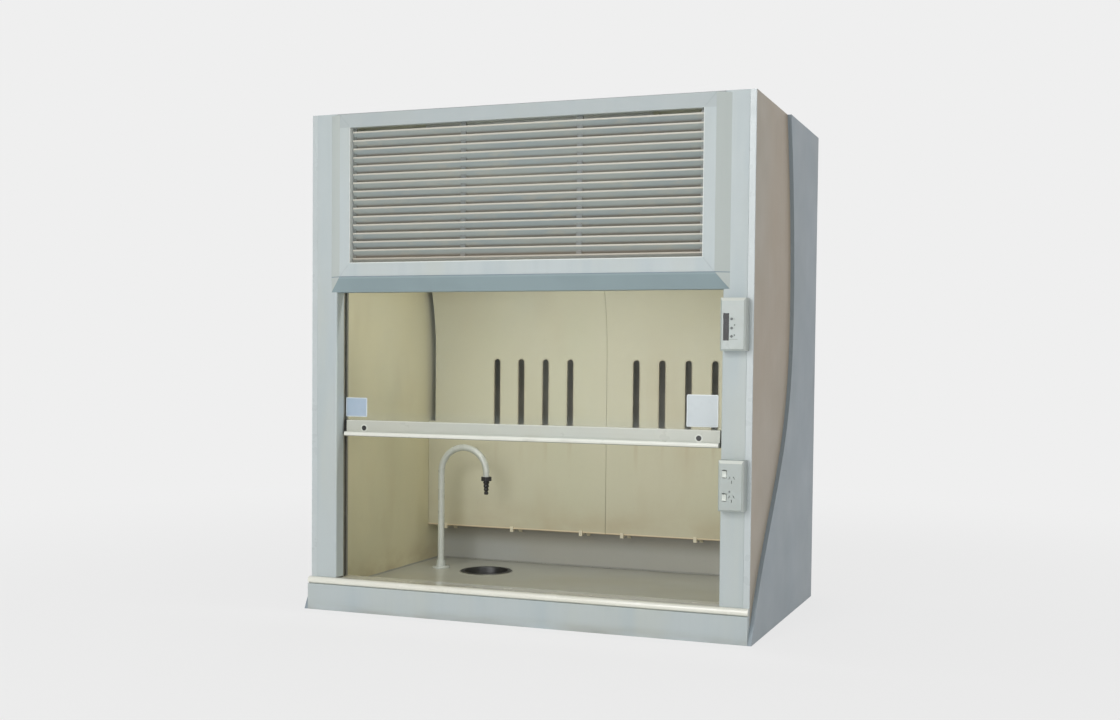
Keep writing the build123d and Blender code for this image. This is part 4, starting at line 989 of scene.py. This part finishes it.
class HOOD_OT_boxes(HoodOperator, bpy.types.Operator):
    """Finishes the control box and the power outlet, with their lenses, marks and screw"""

    bl_idname = "hood.boxes"
    bl_label = "Control box and outlet"

    def make(self, c, s):
        base = tuple(c.box)
        for name in ("control_housing", "outlet_plate"):
            f = Finish(name + "_moulding", base, {"Coat Weight": 0.12, "Coat Roughness": 0.2})
            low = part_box(name)[0]
            f.cloud(between(base, tone(180, 192, 192), 0.8), 0.4, 0.4, 0.7, 30, 3, shift=2.0)
            f.cloud(scaled(base, 0.94), 0.3, 0.55, 0.75, 90, 3, shift=5.0)
            # painted highlight on the upward-facing top bevel
            f.paint(f.facing_z.rise(0.3, 0.6) * f.y.below(low.y + 0.012) * 0.7, tone(240, 242, 232))
            # painted shade on the side faces
            f.paint(f.facing_x.rise(0.5, 0.9) * 0.3, between(base, tone(168, 166, 152), 0.8))
            f.relief(f.noise(1200, 1), 0.00002)
            assign(f.done(0.3 + (f.noise(40, 2) - 0.5) * 0.12), name)
        assign(moulded("outlet_block_moulding", scaled(base, 0.94), 0.35), "outlet_block")
        rocker = moulded("rocker_moulding", tone(214, 220, 212), 0.25, 0.04)
        assign(rocker, "upper_rocker", "lower_rocker")
        buttons = [f"control_button_{number}" for number in (1, 2, 3)]
        assign(moulded("button_moulding", tuple(c.button), 0.3, 0.15), *buttons)
        assign(self.circuit_finish(c), "control_board")
        assign(self.window_finish(c), "control_display")
        self.add_marks(c, s)

    def circuit_finish(self, c):
        base = tuple(c.circuit)
        f = Finish("circuit_board_resist", base, {"Coat Weight": 0.3, "Coat Roughness": 0.2})
        tracks = f.x % 0.0032 - 0.0016
        tracks = (1 - abs(tracks).rise(0.0003, 0.0005)) * f.noise(90, 0, (1, 1, 0.2)).rise(0.45, 0.5)
        f.paint(tracks * 0.6, scaled(base, 1.9))
        f.paint((1 - f.cells(220).rise(0.16, 0.2)) * 0.8, tone(196, 190, 176))
        f.relief(tracks, 0.00004)
        return f.done(0.4)

    def window_finish(self, c):
        base = tone(14, 16, 18)
        f = Finish("display_window_tint", base, {"Specular IOR Level": 0.3})
        f.cloud(tone(26, 28, 32), 0.6, 0.4, 0.8, 60, 2, shift=1.0)
        f.cloud(tone(34, 34, 36), 0.4, 0.5, 0.8, 14, 3, shift=3.0)
        return f.done(0.12 + f.noise(80, 2) * 0.08)

    def add_marks(self, c, s):
        """Lenses and marks on the control box, bars in its window, and a screw in the outlet."""
        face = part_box("control_housing")[0].y
        tint = tone(112, 124, 118)
        lens = Finish("lens_tint", tint, {"Coat Weight": 0.8, "Coat Roughness": 0.05})
        lens.cloud(scaled(tint, 0.7), 0.5, 0.4, 0.7, 300, 2)
        r = s.lens
        dome = (
            (0, -0.0006), (r * 1.35, -0.0006), (r * 1.35, 0.0002), (r, 0.0004),
            (r * 0.8, 0.0008), (r * 0.4, 0.0011), (0, 0.0012),
        )
        bm = bmesh.new()
        for z in LENS_HEIGHTS:
            lathe(bm, frame_of((LENS_X, face, z), (0, -1, 0)), dome, 28)
        show("control_lenses", bm, "cabinet", lens.done(0.2))
        bm = bmesh.new()
        mark(bm, (0.5515, face, 0.7092), 0.0105, 0.0006, 0.0003, 0.0004, 0.0005, 0.0001)
        for z in BUTTON_HEIGHTS:
            for offset in (-0.0058, 0.0058):
                place = (BUTTON_X + offset, face, z)
                mark(bm, place, 0.0006, 0.0016, 0.00025, 0.0004, 0.0004, 0.0001)
        ink = moulded("mark_ink", tone(140, 150, 144), 0.4, 0.1)
        show("control_marks", bm, "cabinet", ink)
        window_low, window_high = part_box("control_display")
        middle = (window_low.x + window_high.x) / 2
        bm = bmesh.new()
        for row in range(3):
            z = 0.7500 - row * 0.0120
            level = [(0, dz, 0.0018, 0.0003) for dz in (0.0040, 0, -0.0040)]
            upright = [(dx, dz, 0.0003, 0.0016) for dz in (0.0020, -0.0020) for dx in (-0.0022, 0.0022)]
            for dx, dz, half_x, half_z in level + upright:
                place = (middle + dx, window_low.y, z + dz)
                mark(bm, place, half_x, half_z, 0.00006, 0.0002, 0.00015, 0.00003)
        ghost = moulded("segment_ghost", tone(48, 50, 54), 0.25, 0.1)
        show("display_segments", bm, "cabinet", ghost)
        bm = bmesh.new()
        place = Vector((OUTLET_SCREW_X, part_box("outlet_plate")[0].y, OUTLET_SCREW_Z))
        screw_head(bm, place, (0, -1, 0), 0.0023, 0.4)
        steel = metal_finish("outlet_screw_steel", tone(128, 134, 132), 0.4)
        show("outlet_screw", bm, "cabinet", steel)


class HOOD_OT_water(HoodOperator, bpy.types.Operator):
    """Finishes the water outlet, drip cup and pipes, and seals their edges"""

    bl_idname = "hood.water"
    bl_label = "Water outlet and drip cup"

    def make(self, c, s):
        coat = tuple(c.tap)
        f = Finish("spout_coat", coat, {"Coat Weight": 0.5, "Coat Roughness": 0.15})
        f.cloud(between(coat, tone(178, 186, 184), 0.8), 0.4, 0.4, 0.7, 12, 3, shift=1.0)
        f.cloud(scaled(coat, 0.85), 0.3, 0.6, 0.75, 80, 3, (1, 1, 0.2), 4.0)
        f.relief(f.noise(900, 1), 0.00002)
        assign(f.done(0.28 + (f.noise(30, 2) - 0.5) * 0.12), "tap_spout", "tap_base")
        assign(moulded("nozzle_black", tuple(c.black), 0.3, 0.25), "tap_nozzle")
        cup = Finish("cup_black", tuple(c.black), {"Coat Weight": 0.15, "Coat Roughness": 0.3})
        low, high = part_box("drip_cup")
        cup.cloud(tone(58, 60, 60), 0.5, 0.5, 0.75, 60, 3)
        cup.cloud(tone(76, 78, 76), 0.3, 0.5, 0.7, 9, 3, shift=3.0)
        cup.paint((1 - (cup.z - low.z).rise(0.006, 0.016)) * 0.4, tone(70, 66, 56))
        cup.relief(cup.noise(500, 2), 0.00004)
        assign(cup.done(0.42 + (cup.noise(25, 2) - 0.5) * 0.2), "drip_cup")
        assign(moulded("waste_pipe_grey", tuple(c.pipe), 0.5), "waste_pipe")
        assign(metal_finish("water_pipe_copper", tone(176, 122, 92), 0.35, (1, 0.05, 1)), "water_pipe")
        seal = sealant_finish(c)
        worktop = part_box("worktop")[1].z
        centre = ((low.x + high.x) / 2, low.y + (high.x - low.x) / 2, worktop)
        rim = (high.x - low.x) / 2
        bm = bmesh.new()
        ring_bead(bm, centre, rim, s.bead, 96)
        tap_low, tap_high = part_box("tap_base")
        flange = ((tap_low.x + tap_high.x) / 2, (tap_low.y + tap_high.y) / 2, worktop)
        ring_bead(bm, flange, 0.025, s.bead * 0.6, 64)
        show("cup_and_tap_sealant", bm, "cabinet", seal)
        self.strainer(c, centre, low)

    def strainer(self, c, centre, low):
        """Domed strainer with holes in the bottom of the cup."""
        rings, steps = 8, STRAINER_HOLES * 4
        dome, foot, thick = 0.0035, low.z + 0.0036, 0.0008
        rows = []
        for index in range(rings + 1):
            share = index / rings
            middle = Matrix.Translation((centre[0], centre[1], foot + dome * (1 - share * share)))
            rows.append(circle(middle, STRAINER_RADIUS * share, 0, steps))
        bm = bmesh.new()
        skin(bm, rows, gap=lambda ring, step: ring in (3, 4, 5) and step % 4 in (1, 2))
        bmesh.ops.recalc_face_normals(bm, faces=bm.faces)
        bmesh.ops.solidify(bm, geom=bm.faces[:], thickness=-thick)
        finish = metal_finish("strainer_steel", tuple(c.steel), 0.35)
        show("cup_strainer", bm, "cabinet", finish)


def sealant_finish(c):
    """Grey sealant, a little shiny, with collected dirt."""
    base = tuple(c.sealant)
    f = Finish("joint_sealant", base, {"Coat Weight": 0.3, "Coat Roughness": 0.25})
    f.cloud(scaled(base, 0.82), 0.5, 0.45, 0.7, 60, 3)
    f.cloud(tone(110, 104, 90), 0.5, 0.6, 0.75, 200, 2, shift=3.0)
    f.relief(f.noise(300, 2), 0.00006)
    return f.done(0.4)


class HOOD_OT_roof_fittings(HoodOperator, bpy.types.Operator):
    """Finishes the lamp and the exhaust collar, and adds the screws"""

    bl_idname = "hood.roof_fittings"
    bl_label = "Lamp, exhaust and screws"

    def make(self, c, s):
        assign(moulded("lamp_tray_enamel", tuple(c.enamel), 0.25, 0.03), "lamp_housing")
        f = Finish("lamp_lens_opal", tone(232, 234, 230), {"Transmission Weight": 0.25, "IOR": 1.49})
        ribs = (f.y % 0.004 - 0.002)
        f.relief(abs(ribs) * 500, 0.0004)
        f.cloud(tone(222, 218, 200), 0.3, 0.5, 0.75, 20, 3)
        assign(f.done(0.3 + f.noise(50, 2) * 0.1), "lamp_diffuser")
        glassy = {"Coat Weight": 0.6, "Coat Roughness": 0.05}
        f = Finish("lamp_tube_phosphor", tone(240, 241, 236), glassy)
        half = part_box("lamp_tube")[1].x
        f.paint(abs(f.x).rise(half - 0.03, half - 0.012) * 0.6, tone(120, 120, 118))
        f.cloud(tone(226, 226, 218), 0.2, 0.5, 0.8, 40, 2)
        assign(f.done(0.2), "lamp_tube")
        duct = tuple(c.duct)
        f = Finish("exhaust_collar_moulding", duct, {"Coat Weight": 0.1, "Coat Roughness": 0.3})
        f.cloud(scaled(duct, 0.88), 0.5, 0.4, 0.7, 7, 3, shift=2.0)
        f.cloud(scaled(duct, 1.1), 0.4, 0.5, 0.8, 180, 2, (1, 1, 0.1), 3.0)
        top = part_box("exhaust_spigot")[1].z
        dust = (f.z - top).rise(-0.012, -0.002) * f.noise(30, 3).rise(0.4, 0.6)
        f.paint(dust * 0.5, tone(182, 186, 186))
        f.relief(f.noise(600, 2), 0.00004)
        assign(f.done(0.45 + (f.noise(14, 2) - 0.5) * 0.2), "exhaust_spigot")
        self.screws(c, s)

    def screws(self, c, s):
        """Flange screws round the collar, and screws along the edges of the roof board."""
        steel = metal_finish("screw_zinc", tone(176, 178, 176), 0.3, spots=0.4)
        rng = random.Random(11)
        low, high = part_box("exhaust_spigot")
        centre = (low + high) / 2
        flange = (high.x - low.x) / 2
        bm = bmesh.new()
        for index in range(8):
            angle = math.pi / 8 + index * math.pi / 4
            out = Vector((math.cos(angle), math.sin(angle), 0)) * (flange - 0.0125)
            place = Vector((centre.x, centre.y, low.z + 0.004)) + out
            screw_head(bm, place, (0, 0, 1), s.screw, rng.uniform(0, 1.5))
        show("collar_screws", bm, "cabinet", steel)
        low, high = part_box("roof_panel")
        bm = bmesh.new()
        for x in (low.x + 0.02, high.x - 0.02):
            for index in range(5):
                y = low.y + 0.09 + index * (high.y - low.y - 0.13) / 4
                place = Vector((x, y, high.z - 0.0005))
                screw_head(bm, place, (0, 0, 1), s.screw * 0.85, rng.uniform(0, 1.5))
        show("roof_screws", bm, "cabinet", steel)


class HOOD_OT_joints(HoodOperator, bpy.types.Operator):
    """Lays sealant along the chamber's joints"""

    bl_idname = "hood.joints"
    bl_label = "Sealant"

    def make(self, c, s):
        rng = random.Random(5)
        seal = sealant_finish(c)
        splash_low, splash_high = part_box("rear_splash")
        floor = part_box("worktop")[1].z
        sill_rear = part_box("sill")[1].y
        bm = bmesh.new()
        wall = splash_high.x
        rear, up, forward, back = splash_low.y, (0, 0, 1), (0, -1, 0), (0, 1, 0)
        bead(bm, (-wall, rear, floor), (wall, rear, floor), forward, up, s.bead, rng)
        for side in (-1, 1):
            x, inward = side * wall, (-side, 0, 0)
            bead(bm, (x, sill_rear, floor), (x, rear, floor), inward, up, s.bead, rng)
            bead(bm, (x, rear, floor), (x, rear, splash_high.z), inward, forward, s.bead, rng)
        front = (-wall, sill_rear, floor), (wall, sill_rear, floor)
        bead(bm, *front, back, up, s.bead * 0.8, rng)
        show("chamber_sealant", bm, "cabinet", seal)


class HOOD_OT_stage(HoodOperator, bpy.types.Operator):
    """Lays the floor and sets the lights, the world and the camera"""

    bl_idname = "hood.stage"
    bl_label = "Stage"

    def make(self, c, s):
        self.floor(c, s)
        self.world(c, s)
        middle = (0, 0, 0.65)
        for name, place, width, height, power in (
            ("key_light", (-0.3, -3.9, 2.2), 1.5, 1.1, s.key),
            ("front_light", (-0.2, -4.6, 0.95), 3.0, 1.6, s.front),
            ("fill_light", (3.6, -3.0, 1.2), 2.0, 1.6, s.fill),
            ("side_light", (4.4, 0.3, 1.2), 2.4, 2.0, s.side),
            ("left_light", (-4.4, 0.3, 1.4), 2.4, 2.0, s.left),
            ("rear_light", (-0.8, 4.8, 1.6), 3.0, 2.0, s.rear),
            ("top_light", (0.1, 0.3, 3.6), 2.6, 2.0, s.top),
        ):
            self.softbox(name, place, middle, width, height, power)
        under_lamp = (0, -0.19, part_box("lamp_diffuser")[0].z - 0.01)
        self.softbox("chamber_light", under_lamp, (0, -0.10, 0), 0.56, 0.07, s.chamber)
        self.camera(s)
        bpy.context.scene.view_settings.view_transform = "Standard"

    def floor(self, c, s):
        """Round floor that fades into the background and keeps the hood's shadow."""
        bm = bmesh.new()
        flat = Matrix.Translation((0, 0, -0.0005))
        radii = (s.floor, 16.0, 8.0, 4.0, 2.0, 1.0, 0.5, 0.0)
        skin(bm, [circle(flat, radius, 0, 96) for radius in radii])
        mesh = bpy.data.meshes.new("studio_floor")
        bm.to_mesh(mesh)
        bm.free()
        floor = bpy.data.objects.new("studio_floor", mesh)
        bpy.context.scene.collection.objects.link(floor)
        material = bpy.data.materials.new("studio_floor_paint")
        material.use_nodes = True
        n = Nodes(material.node_tree)
        pale = (*c.backdrop, 1)
        lit = n.node("ShaderNodeBsdfDiffuse", None, {"Color": (*scaled(c.backdrop, 0.94), 1)})
        glow = n.node("ShaderNodeEmission", None, {"Color": pale, "Strength": 1.0})
        coordinates = n.node("ShaderNodeTexCoord")
        away = n.node("ShaderNodeVectorMath", {"operation": "LENGTH"}, {0: coordinates.outputs["Object"]})
        far = Term(n, away.outputs["Value"]).rise(0.9, 3.4)
        share = n.seen_directly() * (0.86 + 0.14 * far)
        mix = n.node("ShaderNodeMixShader", None, {0: share, 1: lit.outputs[0], 2: glow.outputs[0]})
        n.node("ShaderNodeOutputMaterial", None, {"Surface": mix.outputs[0]})
        mesh.materials.append(material)

    def world(self, c, s):
        world = bpy.data.worlds.new("studio_world")
        bpy.context.scene.world = world
        world.use_nodes = True
        n = Nodes(world.node_tree)
        even = n.node("ShaderNodeBackground", None, {"Color": (1.0, 1.0, 1.0, 1), "Strength": s.world})
        shown = n.node("ShaderNodeBackground", None, {"Color": (*c.backdrop, 1), "Strength": 1.0})
        inputs = {0: n.seen_directly(), 1: even.outputs[0], 2: shown.outputs[0]}
        mix = n.node("ShaderNodeMixShader", None, inputs)
        n.node("ShaderNodeOutputWorld", None, {"Surface": mix.outputs[0]})

    def softbox(self, name, place, aim, width, height, power):
        light = bpy.data.lights.new(name, "AREA")
        light.shape = "RECTANGLE"
        light.size = width
        light.size_y = height
        light.energy = power
        lamp = bpy.data.objects.new(name, light)
        lamp.location = place
        lamp.rotation_euler = (Vector(aim) - Vector(place)).to_track_quat("-Z", "Y").to_euler()
        lamp.visible_camera = False
        bpy.context.scene.collection.objects.link(lamp)

    def camera(self, s):
        """Camera at the photograph's place, turn, tilt, roll and framing."""
        turn, tilt, roll = (math.radians(v) for v in (CAMERA_TURN, CAMERA_TILT, CAMERA_ROLL))
        forward = Vector((-math.sin(turn), math.cos(turn), 0))
        ahead = forward * math.cos(tilt) - Vector((0, 0, math.sin(tilt)))
        level = Vector((math.cos(turn), math.sin(turn), 0))
        upright = level.cross(ahead)
        right = math.cos(roll) * level + math.sin(roll) * upright
        up = -math.sin(roll) * level + math.cos(roll) * upright
        data = bpy.data.cameras.new("photo_camera")
        data.sensor_width = 36
        data.lens = s.lens_length * 1000
        data.shift_x, data.shift_y = CAMERA_SHIFT
        data.clip_start, data.clip_end = 0.05, 200
        camera = bpy.data.objects.new("photo_camera", data)
        rotation = Matrix((right, up, -ahead)).transposed().to_4x4()
        camera.matrix_world = Matrix.Translation(CAMERA_PLACE) @ rotation
        bpy.context.scene.collection.objects.link(camera)
        bpy.context.scene.camera = camera


class HOOD_PT_panel(bpy.types.Panel):
    """Lists the hood's pieces, sizes and colours"""

    bl_label = "Fume Hood"
    bl_idname = "HOOD_PT_panel"
    bl_space_type = "VIEW_3D"
    bl_region_type = "UI"
    bl_category = "Fume Hood"

    def draw(self, context):
        for operator in OPERATORS:
            self.layout.operator(operator.bl_idname)
        for group in (context.scene.hood_sizes, context.scene.hood_colours):
            box = self.layout.box()
            for name in group.__annotations__:
                box.prop(group, name)


OPERATORS = (
    HOOD_OT_carcass,
    HOOD_OT_sides,
    HOOD_OT_chamber,
    HOOD_OT_sash,
    HOOD_OT_plates,
    HOOD_OT_counterbalance,
    HOOD_OT_boxes,
    HOOD_OT_water,
    HOOD_OT_roof_fittings,
    HOOD_OT_joints,
    HOOD_OT_stage,
)
CLASSES = (HoodColours, HoodSizes, *OPERATORS, HOOD_PT_panel)


def register():
    for item in CLASSES:
        bpy.utils.register_class(item)
    bpy.types.Scene.hood_colours = bpy.props.PointerProperty(type=HoodColours)
    bpy.types.Scene.hood_sizes = bpy.props.PointerProperty(type=HoodSizes)


def unregister():
    del bpy.types.Scene.hood_sizes
    del bpy.types.Scene.hood_colours
    for item in reversed(CLASSES):
        bpy.utils.unregister_class(item)


def main():
    """Registers the add-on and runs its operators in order."""
    register()
    for operator in OPERATORS:
        group, name = operator.bl_idname.split(".")
        getattr(getattr(bpy.ops, group), name)()


if __name__ == "__main__":
    main()
